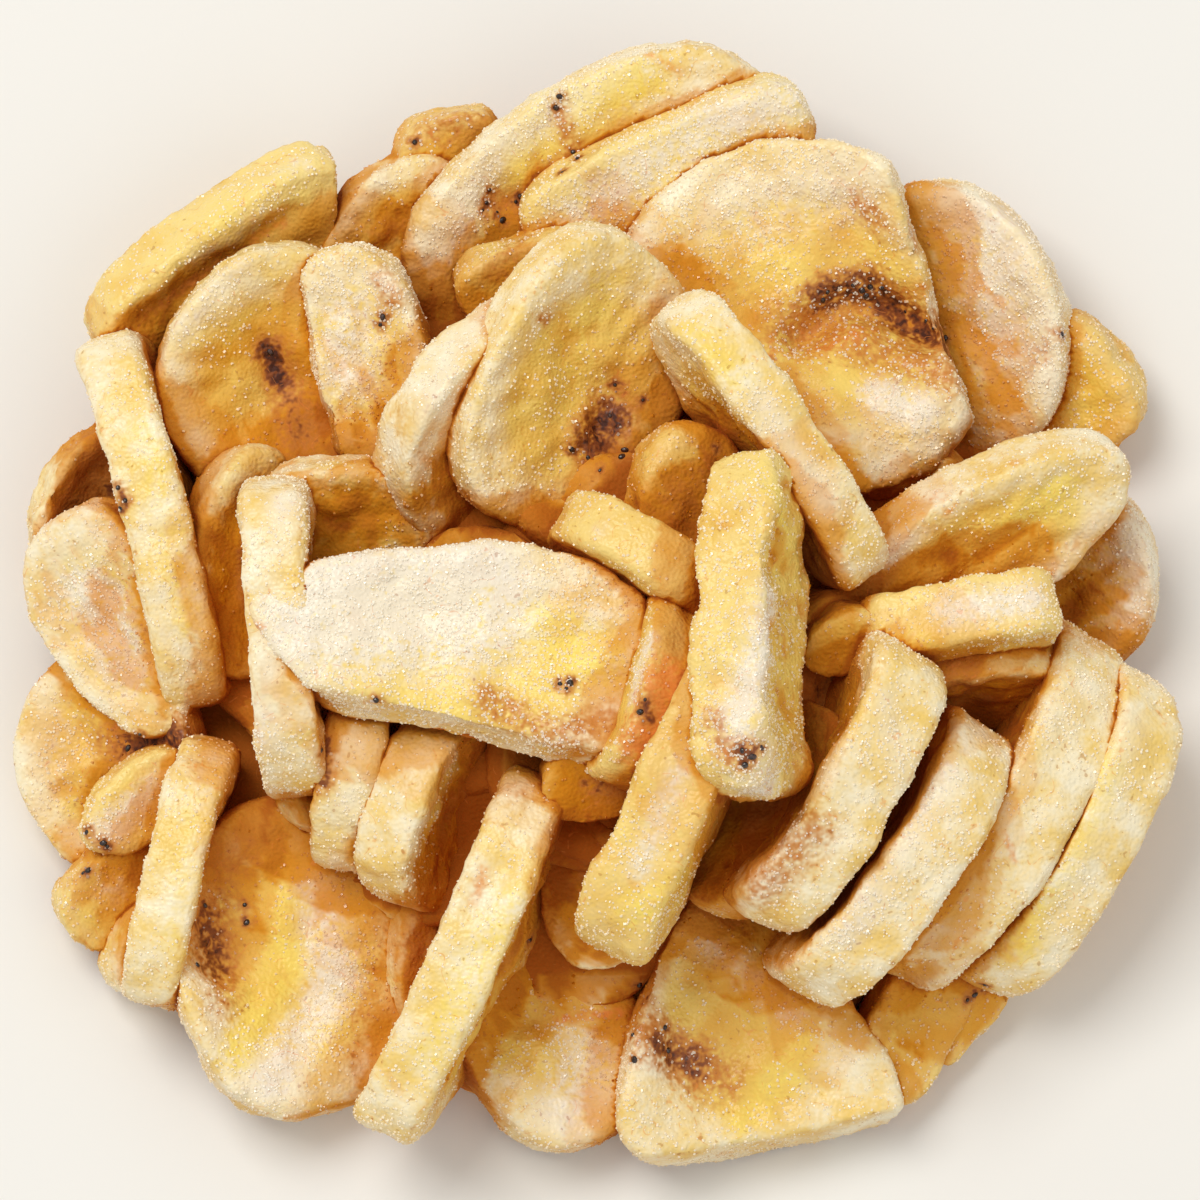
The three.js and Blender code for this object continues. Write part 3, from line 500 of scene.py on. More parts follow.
def set_points(piece, points):
    piece.data.vertices.foreach_set("co", (points * MM).ravel())
    piece.data.update()


def normals_of(piece):
    flat = np.empty(len(piece.data.vertices) * 3)
    piece.data.vertices.foreach_get("normal", flat)
    return flat.reshape(-1, 3)


def set_share(piece, name, values):
    """Keeps a number for every corner, which the fruit's material reads."""
    attribute = piece.data.attributes.get(name) or piece.data.attributes.new(name, "FLOAT", "POINT")
    attribute.data.foreach_set("value", np.broadcast_to(values, len(piece.data.vertices)).astype(np.float32))


def get_share(piece, name):
    values = np.empty(len(piece.data.vertices), np.float32)
    piece.data.attributes[name].data.foreach_get("value", values)
    return values


def clouds(name, size):
    """Soft lumps of about this size in millimetres."""
    texture = bpy.data.textures.new(name, type="CLOUDS")
    texture.noise_scale = size * MM
    texture.noise_depth = CLOUD_DEPTH
    return texture


# ---------------------------------------------------------------- the shape of a slice


def model_plain_slice():
    """A round slice by hand: a cylinder with a puffed rim and faces that sink in steps."""
    bpy.ops.object.select_all(action="DESELECT")
    bpy.ops.mesh.primitive_cylinder_add(
        vertices=DISC_SIDES, radius=DISC_RADIUS * MM, depth=DISC_THICK * MM, end_fill_type="NGON"
    )
    disc = bpy.context.object
    disc.name = "plain_slice"
    bpy.ops.object.mode_set(mode="EDIT")
    bpy.ops.mesh.select_mode(type="FACE")
    select_faces(disc, lambda face: abs(face.normal.z) > LEVEL)
    bpy.ops.mesh.region_to_loop()
    bpy.ops.mesh.bevel(offset=RIM_BEVEL * MM, segments=RIM_STEPS, profile=0.5)
    bpy.ops.mesh.select_mode(type="FACE")
    select_faces(disc, lambda face: abs(face.normal.z) > DEAD_LEVEL)
    for width, sink in INSETS:
        bpy.ops.mesh.inset(thickness=width * MM)
        bpy.ops.transform.resize(value=(1, 1, sink), center_override=(0, 0, 0))
    bpy.ops.object.mode_set(mode="OBJECT")
    return disc


def select_faces(piece, wanted):
    bpy.ops.mesh.select_all(action="DESELECT")
    bpy.ops.object.mode_set(mode="OBJECT")
    for face in piece.data.polygons:
        face.select = bool(wanted(face))
    bpy.ops.object.mode_set(mode="EDIT")


def signed_power(value, power):
    return np.sign(value) * np.abs(value) ** power


def give_form(piece, size, form, order, dish):
    """Stretches the plain slice to its own outline, and bends it. A chunk has no dish."""
    half_long, half_wide, thick = size
    points = points_of(piece)
    share = np.hypot(points[:, 0], points[:, 1]) / DISC_RADIUS
    angle = np.arctan2(points[:, 1], points[:, 0])
    radius = share.copy()
    for i, (waves, depth) in enumerate(LUMPS):
        radius += share * depth * np.sin(waves * angle + (i + 1) * order * LUMP_TURN)
    power = 2 / form.get("square", ROUND_OUTLINE)
    along = radius * signed_power(np.cos(angle), power)
    aside = radius * signed_power(np.sin(angle), power) * (1 + form.get("taper", 0) * along)
    bend = form.get("bow", 0) * (along**2 - LEVEL_SHARE) + form.get("cup", 0) * (aside**2 - LEVEL_SHARE)
    full = np.sign(points[:, 2]) * DISC_THICK / 2
    level = np.where(share < FACE_SHARE, full + (points[:, 2] - full) * dish, points[:, 2])
    height = level / DISC_THICK * thick + bend
    set_points(piece, np.column_stack((along * half_long, aside * half_wide, height)))


def break_off(piece, direction, distance):
    """Breaks a slice along a line, a little out of square as a real break is."""
    turn = math.radians(direction)
    across = Vector((math.cos(turn), math.sin(turn), BREAK_TILT))
    only(piece)
    bpy.ops.object.mode_set(mode="EDIT")
    bpy.ops.mesh.select_all(action="SELECT")
    bpy.ops.mesh.bisect(
        plane_co=Vector((math.cos(turn), math.sin(turn), 0)) * distance * MM,
        plane_no=across,
        use_fill=True,
        clear_outer=True,
    )
    bpy.ops.object.mode_set(mode="OBJECT")


def polar(points, size):
    """Share of the radius and angle of every corner, in the slice's own axes."""
    along, aside = points[:, 0] / size[0], points[:, 1] / size[1]
    return np.hypot(along, aside), np.arctan2(aside, along)


def press_faces(piece, size, order, dish):
    """The middle of a banana: a pit, three lobes round it and faint fibres out to the rim."""
    points = points_of(piece)
    facing = normals_of(piece)[:, 2]
    share, angle = polar(points, size)
    wave = LOBES * angle + order * LUMP_TURN
    relief = -PIT_DEPTH * np.exp(-((share / PIT_RADIUS) ** 2))
    relief += LOBE_HEIGHT * np.exp(-(((share - LOBE_AT) / LOBE_WIDTH) ** 2)) * np.cos(wave)
    fibres = FIBRE_HEIGHT * np.sin(FIBRES * angle + FIBRE_WAVE * np.sin(wave))
    relief += fibres * smooth_step(*FIBRES_START, share) * (1 - smooth_step(*FIBRES_END, share))
    points[:, 2] += facing * relief * dish
    set_points(piece, points)


def keep_own_shares(piece, size, order, looks):
    """What the material needs to know of a slice, from where a point is on it."""
    tone_and_shade, sugar, core, _, dish = looks
    share, angle = polar(points_of(piece), size)
    facing = np.abs(normals_of(piece)[:, 2])
    flat = smooth_step(*FACE_FACING, facing)
    rim = np.maximum(smooth_step(*RIM_SHARE, share), 1 - flat)
    lobes = CORE_SHARE + CORE_LOBES * np.cos(LOBES * angle + order * LUMP_TURN)
    inside = 1 - smooth_step(lobes + CORE_EDGE[0], lobes + CORE_EDGE[1], share)
    edge = np.exp(-(((facing - EDGE_FACING) / EDGE_SPREAD) ** 2)) * smooth_step(*EDGE_START, share)
    set_share(piece, "rim", rim * (CHUNK_RIM + (1 - CHUNK_RIM) * dish))
    set_share(piece, "tone_and_shade", tone_and_shade)
    set_share(piece, "sugar", sugar)
    set_share(piece, "brown", core * flat * inside)
    set_share(piece, "toast_and_shade", EDGE_TOAST * edge)
    for kind in ("yellow", "white", "orange", "gap_shade"):
        set_share(piece, kind, 0)


def from_middle():
    """From the middle of the heap to the origin of the part."""
    return Matrix.Translation(Vector((-HEAP_MIDDLE[0], -HEAP_MIDDLE[1], 0)) * MM)


def lay_matrix(at, lie):
    """Puts a slice where it shows in the picture, tilted with the line of sight."""
    across, up, height = at
    turn, rise, tip = (math.radians(a) for a in lie)
    look = math.radians(LOOK_DOWN)
    depth = (up - (height - MIDDLE_HEIGHT) * math.cos(look)) / math.sin(look)
    place = Vector((across - HEAP_MIDDLE[0], depth - HEAP_MIDDLE[1], height)) * MM
    return (
        Matrix.Translation(place)
        @ Matrix.Rotation(math.pi / 2 - look, 4, "X")
        @ Matrix.Rotation(turn, 4, "Z")
        @ Matrix.Rotation(-rise, 4, "Y")
        @ Matrix.Rotation(tip, 4, "X")
    )


def lower_matrix(ring, place, seed):
    """Puts one of the lower slices in its ring, spun at random and sloping outwards."""
    radius, height, count, slope = LOWER_RINGS[ring]
    shift = LOWER_SHIFT * (spread(seed) - 0.5) + (ring % 2) / 2
    lean = math.radians(slope + LOWER_WOBBLE * (spread(seed + LOWER_SEEDS["slope"]) - 0.5))
    return (
        from_middle()
        @ Matrix.Rotation(2 * math.pi * (place + shift) / count, 4, "Z")
        @ Matrix.Translation(Vector((radius, 0, height)) * MM)
        @ Matrix.Rotation(lean, 4, "Y")
        @ Matrix.Rotation(2 * math.pi * spread(seed + LOWER_SEEDS["spin"]), 4, "Z")
    )


def rest_on_table(piece):
    """Flattens what would go through the table."""
    points = points_of(piece)
    points[:, 2] = np.maximum(points[:, 2], 0)
    set_points(piece, points)


def make_slice(disc, name, size, form, order, looks, place, voxel):
    """One slice: its form, its faces, what the material reads, and its place in the heap."""
    _, _, _, roughness, dish = looks
    piece = copy_of(disc, name)
    give_form(piece, size, form, order, dish)
    if "cut" in form:
        break_off(piece, *form["cut"])
    apply_modifier(piece, "REMESH", mode="VOXEL", voxel_size=voxel * MM)
    apply_modifier(piece, "SMOOTH", factor=SMOOTH_FACTOR, iterations=SMOOTHING)
    press_faces(piece, size, order, dish)
    keep_own_shares(piece, size, order, looks)
    piece.data.transform(place)
    for texture, strength in roughening:
        strength *= roughness * MM
        apply_modifier(piece, "DISPLACE", texture=texture, strength=strength, mid_level=CLOUD_LEVEL)
    rest_on_table(piece)
    only(piece)
    bpy.ops.object.shade_smooth()
    return piece


# ---------------------------------------------------------------- places in the picture


def view_axes():
    """What the camera looks at, and the ways up the picture and towards the eye."""
    look = math.radians(LOOK_DOWN)
    target = Vector((-HEAP_MIDDLE[0], -HEAP_MIDDLE[1], MIDDLE_HEIGHT)) * MM
    return target, Vector((0, math.sin(look), math.cos(look))), Vector((0, -math.cos(look), math.sin(look)))


def make_camera():
    target, _, towards_eye = view_axes()
    data = bpy.data.cameras.new("camera")
    data.sensor_width = SENSOR
    data.lens = SENSOR * EYE_DISTANCE / PICTURE_WIDTH
    camera = bpy.data.objects.new("camera", data)
    camera.location = target + towards_eye * EYE_DISTANCE * MM
    camera.rotation_euler = (math.pi / 2 - math.radians(LOOK_DOWN), 0, 0)
    bpy.context.scene.collection.objects.link(camera)
    bpy.context.scene.camera = camera


def sight_line(pixel):
    """Where the line of sight through a pixel of the picture starts, and its direction."""
    target, upward, towards_eye = view_axes()
    right = Vector((1, 0, 0))
    middle = PICTURE_PIXELS / 2
    scale = PICTURE_WIDTH / PICTURE_PIXELS * MM
    eye = target + towards_eye * EYE_DISTANCE * MM
    seen = target + right * (pixel[0] - middle) * scale + upward * (middle - pixel[1]) * scale
    return eye, (seen - eye).normalized()


def tree_of(pieces):
    """A search tree over the faces of some pieces."""
    corners, faces = [], []
    for piece in pieces:
        first = len(corners)
        corners += [v.co.copy() for v in piece.data.vertices]
        faces += [[first + i for i in face.vertices] for face in piece.data.polygons]
    return BVHTree.FromPolygons(corners, faces)


def hit(tree, pixel):
    """The point and the normal that a pixel shows, or None."""
    point, normal, _, _ = tree.ray_cast(*sight_line(pixel))
    return None if point is None else (point, normal)


def distance_to_path(points, path):
    """How far each point is from a line of points, in millimetres."""
    if len(path) == 1:
        return np.linalg.norm(points - path[0], axis=1)
    nearest = np.full(len(points), np.inf)
    for start, end in zip(path, path[1:]):
        run = end - start
        share = np.clip((points - start) @ run / max(run @ run, NOT_ZERO), 0, 1)
        nearest = np.minimum(nearest, np.linalg.norm(points - start - share[:, None] * run, axis=1))
    return nearest


def paint_marks(slices):
    """Lays the stains of each slice on it, and on a few slices painted shade, where the picture shows them.
    """
    for name, kind, radius, strength, pixels in MARKS:
        piece = slices[name]
        tree = tree_of([piece])
        found = [hit(tree, pixel) for pixel in pixels]
        path = [np.array(spot[0]) / MM for spot in found if spot]
        if not path:
            print("mark misses:", name, kind, pixels)
            continue
        near = strength * np.exp(-((distance_to_path(points_of(piece), path) / radius) ** 2))
        set_share(piece, kind, np.maximum(get_share(piece, kind), near))


def press_dents(slices):
    """Presses folds and hollows into the slices, or lifts lobes, where the picture shows them."""
    for name, depth, radius, pixels in DENTS:
        piece = slices[name]
        tree = tree_of([piece])
        found = [spot for spot in (hit(tree, pixel) for pixel in pixels) if spot]
        if not found:
            print("dent misses:", name, pixels)
            continue
        path = [np.array(point) / MM for point, _ in found]
        out = np.mean([np.array(normal) for _, normal in found], axis=0)
        out /= np.linalg.norm(out)
        points = points_of(piece)
        near = np.exp(-((distance_to_path(points, path) / radius) ** 2))
        facing = np.clip(normals_of(piece) @ out, 0, 1)
        set_points(piece, points - out * (depth * near * facing)[:, None])
        rest_on_table(piece)


def shade_gaps(pieces, tree, depth=1.0):
    """Finds how closed in every corner lies and how far it faces sideways or down: the fruit gets painted
    golden shade there.
    """
    for piece in pieces:
        points = points_of(piece) * MM
        normals = normals_of(piece)
        closed = np.zeros(len(points))
        for i, (point, normal) in enumerate(zip(points, normals)):
            start = Vector(point + normal * GAP_START * MM)
            up = Vector(normal)
            for ray in GAP_RAYS:
                direction = Vector(ray) if up.dot(ray) > 0 else Vector(ray) - 2 * up.dot(ray) * up
                if tree.ray_cast(start, direction, GAP_REACH * MM)[0] is not None:
                    closed[i] += 1
        # painted shade: the share of rays that hit fruit, plus more on sides and undersides
        shade = closed / len(GAP_RAYS) + SIDE_SHADE * (1 - normals[:, 2]) / 2
        set_share(piece, "gap_shade", shade * depth)


# ---------------------------------------------------------------- seeds and sugar


def model_small(name, build, detail):
    """A small thing that is modelled once, and its corners and faces."""
    bpy.ops.object.select_all(action="DESELECT")
    build(**detail)
    piece = bpy.context.object
    piece.name = name
    corners = points_of(piece) * MM
    faces = [list(face.vertices) for face in piece.data.polygons]
    bpy.data.objects.remove(piece)
    return corners, faces


def random_turns(count, generator):
    """Even random rotations as matrices."""
    q = generator.normal(size=(count, 4))
    q /= np.linalg.norm(q, axis=1)[:, None]
    w, x, y, z = q.T
    return np.stack(
        (
            np.stack((1 - 2 * (y * y + z * z), 2 * (x * y - z * w), 2 * (x * z + y * w)), 1),
            np.stack((2 * (x * y + z * w), 1 - 2 * (x * x + z * z), 2 * (y * z - x * w)), 1),
            np.stack((2 * (x * z - y * w), 2 * (y * z + x * w), 1 - 2 * (x * x + y * y)), 1),
        ),
        1,
    )


def scattered(name, corners, faces, places, sizes, turns):
    """One piece of many small things, each with its place, size and turn. Metres."""
    count, each = len(places), len(corners)
    shaped = corners[None, :, :] * sizes[:, None, :]
    turned = np.einsum("nij,nkj->nki", turns, shaped) + places[:, None, :]
    starts = np.arange(count) * each
    all_faces = (np.array(faces)[None, :, :] + starts[:, None, None]).reshape(-1, len(faces[0]))
    mesh = bpy.data.meshes.new(name)
    mesh.from_pydata(turned.reshape(-1, 3).tolist(), [], all_faces.tolist())
    piece = bpy.data.objects.new(name, mesh)
    bpy.context.scene.collection.objects.link(piece)
    return piece


def triangles_of(piece):
    """The three corners of each triangle of a piece."""
    mesh = piece.data
    mesh.calc_loop_triangles()
    indices = np.empty(len(mesh.loop_triangles) * 3, np.int32)
    mesh.loop_triangles.foreach_get("vertices", indices)
    return indices.reshape(-1, 3)


def scatter_sugar(pieces, tree):
    """Grains on every slice, thickest where it is sugared, none where it is covered."""
    generator = np.random.default_rng(SUGAR_SEED)
    places, kept = [], {name: [] for name in SHARES}
    for piece in pieces:
        points = points_of(piece) * MM
        triangles = triangles_of(piece)
        a, b, c = (points[triangles[:, k]] for k in range(3))
        cross = np.cross(b - a, c - a)
        area = np.linalg.norm(cross, axis=1) / 2
        normal = cross / np.maximum(2 * area, NOT_ZERO)[:, None]
        own = {name: get_share(piece, name) for name in SHARES}
        patch = np.array([noise.noise(Vector(point / SUGAR_PATCH)) for point in points / MM])
        sugar = (own["sugar"] + WHITE_SUGAR * own["white"]) * (1 + PATCH_CONTRAST * patch)
        sugar += BROWN_SUGAR * own["brown"]
        sugar *= np.clip(1 - GAP_SUGAR * own["gap_shade"], 0, 1)
        sugar = np.clip(sugar[triangles].mean(axis=1), 0, MOST_SUGAR)
        weight = area * sugar * (normal[:, 2] > SUGAR_FACING)
        count = int(weight.sum() / MM**2 * SUGAR_PER_MM2)
        if count == 0:
            continue
        chosen = generator.choice(len(triangles), count, p=weight / weight.sum())
        u, v = generator.random((2, count))
        over = u + v > 1
        u[over], v[over] = 1 - u[over], 1 - v[over]
        spots = a[chosen] + u[:, None] * (b - a)[chosen] + v[:, None] * (c - a)[chosen]
        for spot, up, corner in zip(spots, normal[chosen], triangles[chosen, 0]):
            start = Vector(spot + up * GRAIN_START * MM)
            above = tree.ray_cast(start, Vector(up), COVERED_WITHIN * MM)[0]
            if spot[2] > GRAIN_START * MM and above is None:
                places.append(spot)
                for name in SHARES:
                    kept[name].append(own[name][corner])
    places = np.array(places)
    count = len(places)
    print("sugar grains", count)
    size = generator.uniform(*GRAIN_SIZE, count)[:, None] * MM
    size = size * generator.uniform(GRAIN_SQUEEZE, 1, (count, 3))
    corners, faces = model_small("grain", bpy.ops.mesh.primitive_cube_add, {"size": 1})
    turns = random_turns(count, generator)
    made = []
    for start in range(0, count, GRAINS_A_PIECE):
        part = slice(start, start + GRAINS_A_PIECE)
        name = f"sugar_grains_{start // GRAINS_A_PIECE + 1}"
        grains = scattered(name, corners, faces, places[part], size[part], turns[part])
        for share in SHARES:
            set_share(grains, share, np.repeat(kept[share][part], len(corners)))
        made.append(grains)
    return made


def place_seeds(pieces):
    """Seeds where the picture shows them, each half sunk in a brown spot of its slice."""
    generator = np.random.default_rng(SEED_SEED)
    tree = tree_of(pieces)
    last = np.cumsum([len(piece.data.polygons) for piece in pieces])
    places = []
    for pixel in SEEDS:
        point, normal, face, _ = tree.ray_cast(*sight_line(pixel))
        if point is None:
            continue
        places.append(np.array(point - normal * SEED_SINKS * MM))
        piece = pieces[int(np.searchsorted(last, face, side="right"))]
        away = np.linalg.norm(points_of(piece) - np.array(point) / MM, axis=1)
        near = SEED_STAIN * np.exp(-((away / SEED_STAIN_RADIUS) ** 2))
        set_share(piece, "brown", np.maximum(get_share(piece, "brown"), near))
    count = len(places)
    size = generator.uniform(*SEED_SIZE, count)[:, None] * np.array(SEED_SHAPE) * MM
    ball = {"subdivisions": 2, "radius": 0.5}
    corners, faces = model_small("seed", bpy.ops.mesh.primitive_ico_sphere_add, ball)
    return scattered("seeds", corners, faces, np.array(places), size, random_turns(count, generator))


# ---------------------------------------------------------------- materials


MIX_SHARE, MIX_FIRST, MIX_SECOND, MIX_COLOUR = 0, 6, 7, 2     # the colour sockets of a Mix node


class Shader:
    """Short words for the nodes of one material."""

    def __init__(self, name):
        self.material = bpy.data.materials.new(name)
        self.material.use_nodes = True
        self.tree = self.material.node_tree
        self.surface = self.tree.nodes["Principled BSDF"]
        self.place = self.node("ShaderNodeTexCoord").outputs["Object"]

    def node(self, kind, **settings):
        made = self.tree.nodes.new(kind)
        for key, value in settings.items():
            setattr(made, key, value)
        return made

    def put(self, socket, value):
        if isinstance(value, bpy.types.NodeSocket):
            self.tree.links.new(value, socket)
        else:
            socket.default_value = value

    def math(self, operation, *values):
        node = self.node("ShaderNodeMath", operation=operation)
        for socket, value in zip(node.inputs, values):
            self.put(socket, value)
        return node.outputs[0]

    def add(self, first, second):
        return self.math("ADD", first, second)

    def around(self, value, reach):
        """A cloud as a number round zero, of this reach."""
        return self.math("MULTIPLY", self.math("SUBTRACT", value, 0.5), reach)

    def mix(self, share, first, second):
        node = self.node("ShaderNodeMix", data_type="RGBA")
        self.put(node.inputs[MIX_SHARE], share)
        self.put(node.inputs[MIX_FIRST], first)
        self.put(node.inputs[MIX_SECOND], second)
        return node.outputs[MIX_COLOUR]

    def step(self, value, low, high, start=0.0, end=1.0):
        """Goes softly from start to end while the value goes from low to high."""
        node = self.node("ShaderNodeMapRange", interpolation_type="SMOOTHSTEP")
        self.put(node.inputs["Value"], value)
        for name, number in zip(("From Min", "From Max", "To Min", "To Max"), (low, high, start, end)):
            self.put(node.inputs[name], number)
        return node.outputs["Result"]

    def share(self, name):
        return self.node("ShaderNodeAttribute", attribute_name=name).outputs["Fac"]

    def noise(self, size, detail, roughness=0.55):
        """Clouds of about this size in millimetres."""
        node = self.node("ShaderNodeTexNoise")
        self.put(node.inputs["Vector"], self.place)
        self.put(node.inputs["Scale"], 1 / (size * MM))
        self.put(node.inputs["Detail"], detail)
        self.put(node.inputs["Roughness"], roughness)
        return node.outputs["Fac"]

    def bump(self, height, depth, strength):
        node = self.node("ShaderNodeBump")
        self.put(node.inputs["Height"], height)
        self.put(node.inputs["Distance"], depth * MM)
        self.put(node.inputs["Strength"], strength)
        self.put(self.surface.inputs["Normal"], node.outputs["Normal"])

    def set(self, **values):
        for key, value in values.items():
            self.put(self.surface.inputs[key.replace("_", " ")], value)


CREAM = linear(247, 236, 206)
WARM_CREAM = linear(238, 202, 116)
FLESH = linear(243, 212, 112)
GOLD = linear(224, 160, 36)
# the colours of the painted shade in gaps and on sides and undersides
SHADE_GOLD = linear(214, 138, 10)
DEEP_SHADE_UMBER = linear(170, 88, 3)
# toast colour: toasted fruit and, on a few slices, painted shade
TOAST_AND_SHADE = linear(196, 120, 50)
ORANGE = linear(226, 134, 60)
RUST = linear(196, 122, 50)
BROWN = linear(122, 62, 30)
MAROON = linear(62, 32, 26)
WHITE = linear(242, 236, 227)
YELLOW = linear(248, 221, 104)
SPECK = linear(160, 88, 40)
SUGAR_WHITE = linear(252, 246, 232)
SUGAR_CREAM = linear(250, 240, 218)
SEED_BLACK = linear(34, 26, 26)
SEED_BROWN = linear(66, 44, 38)

# Sizes of the clouds in the fruit, in millimetres: its soft patches, its fine grain and its pores.
SOFT_PATCHES = 4
FINE_GRAIN = 0.7
PORES = 0.34


def fruit_colour(m, soft=0.5, fine=0.5):
    """Dried banana: cream rims, yellow faces, painted golden shade in the gaps and on sides and undersides,
    and the stains laid on it, some of the toast ones painted shade.

    Each step says from which share to which it comes in, and how far it goes there.
    """
    # tone and shade: the slice's own tone, deeper gold where it stands for painted shade
    tone_and_shade = m.step(m.add(m.share("tone_and_shade"), m.around(soft, 0.8)), 0.0, 1.0)
    flesh = m.mix(tone_and_shade, FLESH, GOLD)
    skin = m.mix(m.step(m.add(soft, m.around(fine, 0.5)), 0.2, 0.8), CREAM, WARM_CREAM)
    skin = m.mix(m.math("MULTIPLY", tone_and_shade, 0.45), skin, FLESH)
    rim = m.add(m.share("rim"), m.around(soft, 0.5))
    colour = m.mix(m.step(rim, 0.1, 0.95), flesh, skin)

    ragged = m.add(m.around(fine, 2.2), m.around(soft, 0.6))

    def stain(colour, name, paint, low, high, most):
        share = m.math("MULTIPLY_ADD", m.share(name), ragged, m.share(name))
        return m.mix(m.step(share, low, high, 0, most), colour, paint)

    colour = stain(colour, "yellow", YELLOW, 0.1, 1.1, 0.85)
    colour = stain(colour, "white", WHITE, 0.1, 1.0, 0.75)
    # painted shade: gold, then umber, the more closed in a corner is or the more it faces sideways or down
    gap_shade = m.add(m.share("gap_shade"), m.around(soft, 0.3))
    colour = m.mix(m.step(gap_shade, 0.0, 0.5, 0, 0.95), colour, SHADE_GOLD)
    colour = m.mix(m.step(gap_shade, 0.35, 0.85, 0, 0.97), colour, DEEP_SHADE_UMBER)
    # toast: toasted fruit, and on a few slices painted shade
    colour = stain(colour, "toast_and_shade", TOAST_AND_SHADE, 0.15, 1.1, 0.9)
    colour = stain(colour, "orange", ORANGE, 0.2, 1.2, 0.9)

    colour = stain(colour, "brown", RUST, 0.1, 0.65, 0.85)
    colour = stain(colour, "brown", BROWN, 0.5, 0.9, 0.9)
    return stain(colour, "brown", MAROON, 0.9, 1.3, 0.9)


def fruit_material():
    """The fruit with its clouds, orange threads and brown specks, moist but dry in the gaps."""
    m = Shader("dried_banana")
    soft = m.noise(SOFT_PATCHES, 1)
    fine = m.noise(FINE_GRAIN, 1, 0.65)
    colour = fruit_colour(m, soft, fine)
    thread = m.step(m.math("ABSOLUTE", m.around(soft, 1.0)), 0.002, 0.007, 1, 0)
    colour = m.mix(m.math("MULTIPLY", thread, m.step(fine, 0.5, 0.6, 0, 0.4)), colour, ORANGE)
    colour = m.mix(m.step(fine, 0.71, 0.76, 0, 0.4), colour, SPECK)
    m.bump(m.noise(PORES, 0), 0.11, 0.9)
    m.set(
        Base_Color=colour,
        Roughness=m.step(m.share("gap_shade"), 0.05, 0.5, 0.3, 0.85),
        Specular_IOR_Level=0.36,
    )
    return m.material


def sugar_material():
    """Clear sugar, which takes on the colour of the fruit under it, painted shade included, and is clearer
    where the painted shade is deeper.
    """
    m = Shader("sugar_grain")
    white = m.mix(m.share("tone_and_shade"), SUGAR_WHITE, SUGAR_CREAM)
    clear = m.step(m.share("gap_shade"), -0.1, 0.6, 0.3, 1.0)
    m.set(Base_Color=m.mix(clear, white, fruit_colour(m)), Roughness=0.12)
    return m.material


def seed_material():
    m = Shader("seed_shell")
    colour = m.mix(m.step(m.noise(0.4, 2), 0.45, 0.6), SEED_BLACK, SEED_BROWN)
    m.set(Base_Color=colour, Roughness=m.step(m.noise(0.3, 1), 0.4, 0.6, 0.25, 0.45), Coat_Weight=0.4)
    m.bump(m.noise(0.25, 2), 0.05, 0.5)
    return m.material


def floor_material():
    m = Shader("pale_floor")
    colour = m.mix(m.noise(FLOOR_CLOUDS, 2), linear(*FLOOR_RGB), linear(*[c - 1 for c in FLOOR_RGB]))
    m.set(Base_Color=colour, Roughness=0.9)
    return m.material


# ---------------------------------------------------------------- the whole heap


roughening = [(clouds(name, size), strength) for name, size, strength in ROUGHENING]


def make_core(disc):
    """Fruit packed under the slices, seen only in the deepest gaps: its full deep gold tone and its painted
    shade make it dark gold.
    """
    core = copy_of(disc, "heap_core")
    points = points_of(core)
    flat = np.hypot(points[:, 0], points[:, 1]) / DISC_RADIUS
    height = (points[:, 2] / DISC_THICK + 0.5) * CORE_HEIGHT * (1 - CORE_SLUMP * flat**2)
    set_points(core, np.column_stack((points[:, :2] / DISC_RADIUS * CORE_RADIUS, height)))
    apply_modifier(core, "REMESH", mode="VOXEL", voxel_size=CORE_VOXEL * MM)
    swell = roughening[0][0]
    apply_modifier(core, "DISPLACE", texture=swell, strength=CORE_SWELL * MM, mid_level=CORE_SWELL_LEVEL)
    # tone 1: the core's full deep gold is painted shade
    keep_own_shares(core, (CORE_RADIUS, CORE_RADIUS, CORE_HEIGHT), 0, (1, 0, 0, 1, 0))
    core.data.transform(from_middle())
    rest_on_table(core)
    set_share(core, "rim", 0)
    only(core)
    bpy.ops.object.shade_smooth()
    return core


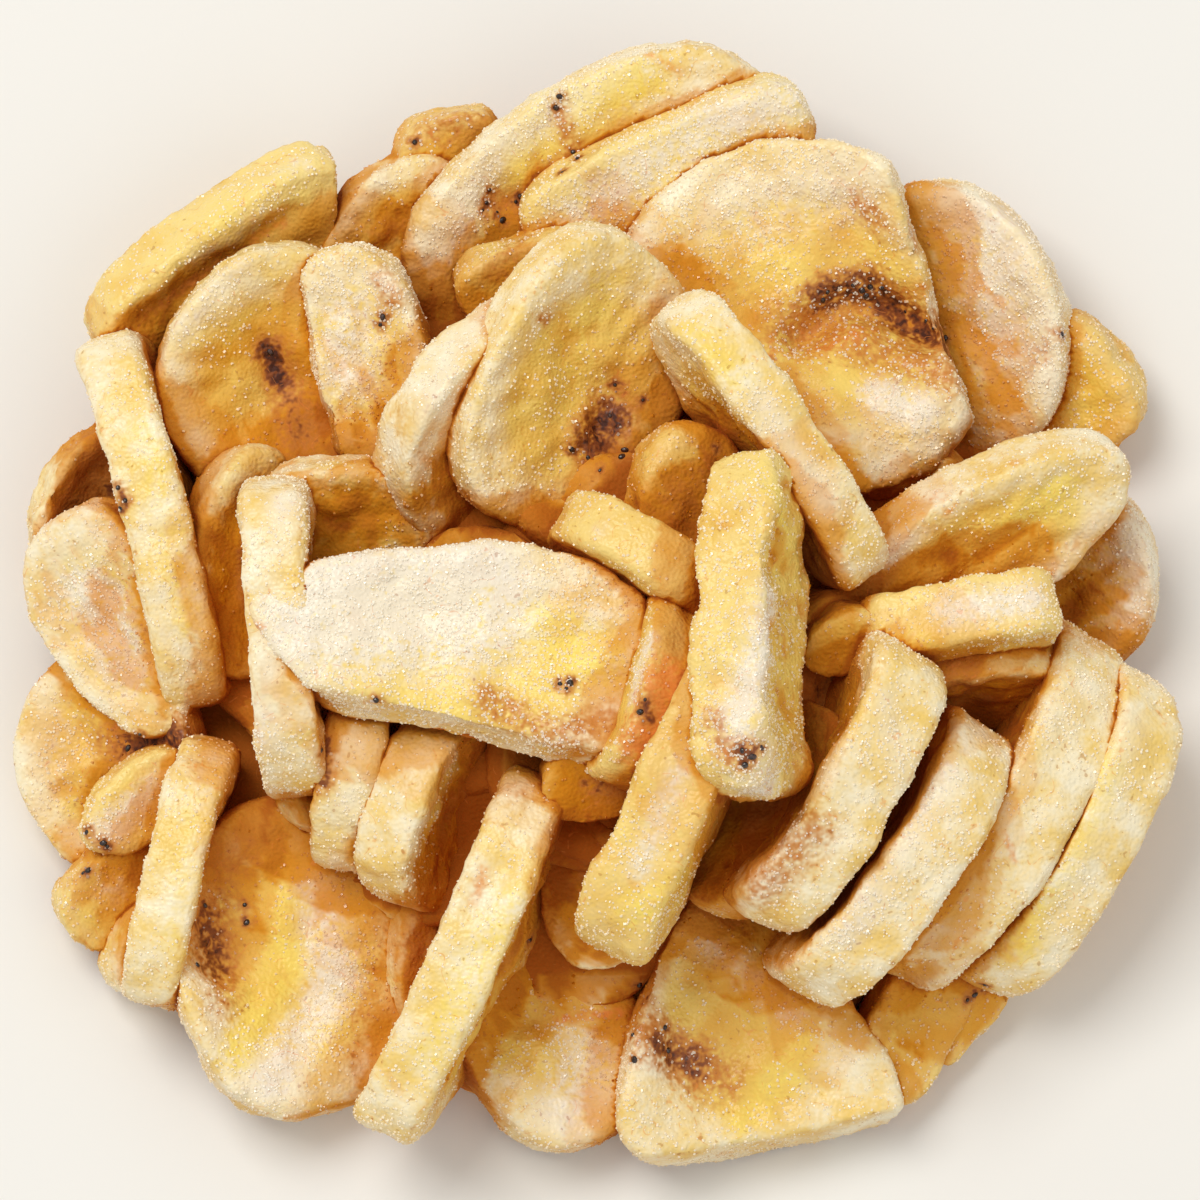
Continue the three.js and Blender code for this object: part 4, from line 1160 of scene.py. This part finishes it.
def make_heap():
    """All the slices, the core under them, the seeds and the sugar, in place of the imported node."""
    disc = model_plain_slice()
    slices = {}
    for order, (name, at, lie, size, form, looks) in enumerate(SLICES):
        place = lay_matrix(at, lie)
        slices[name] = make_slice(disc, "slice_" + name, size, form, order, looks, place, UPPER_VOXEL)
    lower = []
    for ring, (_, _, count, _) in enumerate(LOWER_RINGS):
        for k in range(count):
            seed = len(lower) + 1
            drawn = {what: spread(seed + step) for what, step in LOWER_SEEDS.items()}
            size = (
                LOWER_SIZE[0] + LOWER_GROWTH * drawn["length"],
                LOWER_SIZE[1] + LOWER_GROWTH * drawn["width"],
                LOWER_SIZE[2],
            )
            looks = (
                LOWER_TONE_AND_SHADE + LOWER_TONE_GROWTH * drawn["tone_and_shade"],
                LOWER_SUGAR,
                LOWER_CORE * drawn["core"],
                LOWER_ROUGHNESS,
                LOWER_DISH,
            )
            place = lower_matrix(ring, k, seed)
            name = f"slice_lower_{seed}"
            lower.append(make_slice(disc, name, size, {"bow": LOWER_BOW}, seed, looks, place, LOWER_VOXEL))
    core = make_core(disc)
    bpy.data.objects.remove(disc)
    press_dents(slices)
    paint_marks(slices)
    fruit = [*slices.values(), *lower, core]
    tree = tree_of(fruit)
    shade_gaps(slices.values(), tree)
    # the lower slices and the core get deeper painted shade
    shade_gaps([*lower, core], tree, LOWER_SHADE_DEPTH)
    seeds = place_seeds(fruit)
    sugar = scatter_sugar([*slices.values(), *lower], tree)
    kinds = ((fruit, fruit_material()), (sugar, sugar_material()), ([seeds], seed_material()))
    for pieces, material in kinds:
        for piece in pieces:
            piece.data.materials.clear()
            piece.data.materials.append(material)
            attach(piece, BODY)
            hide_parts(NODE)


def make_stage():
    """A pale floor, a bright room and two soft lamps."""
    bpy.ops.object.select_all(action="DESELECT")
    bpy.ops.mesh.primitive_plane_add(size=FLOOR_SIZE, location=(0, 0, 0))
    floor = bpy.context.object
    floor.name = "floor"
    floor.data.materials.append(floor_material())
    world = bpy.data.worlds.new("studio")
    world.use_nodes = True
    background = world.node_tree.nodes["Background"]
    background.inputs["Color"].default_value = STUDIO_WHITE
    background.inputs["Strength"].default_value = STUDIO_STRENGTH
    bpy.context.scene.world = world
    for name, place, size, power in LIGHTS:
        data = bpy.data.lights.new(name, "AREA")
        data.size = size
        data.energy = power
        data.color = LAMP_WHITE
        light = bpy.data.objects.new(name, data)
        light.location = place
        light.rotation_euler = Vector(place).to_track_quat("Z", "Y").to_euler()
        bpy.context.scene.collection.objects.link(light)
    bpy.context.scene.view_settings.view_transform = "Standard"


make_heap()
make_stage()
make_camera()
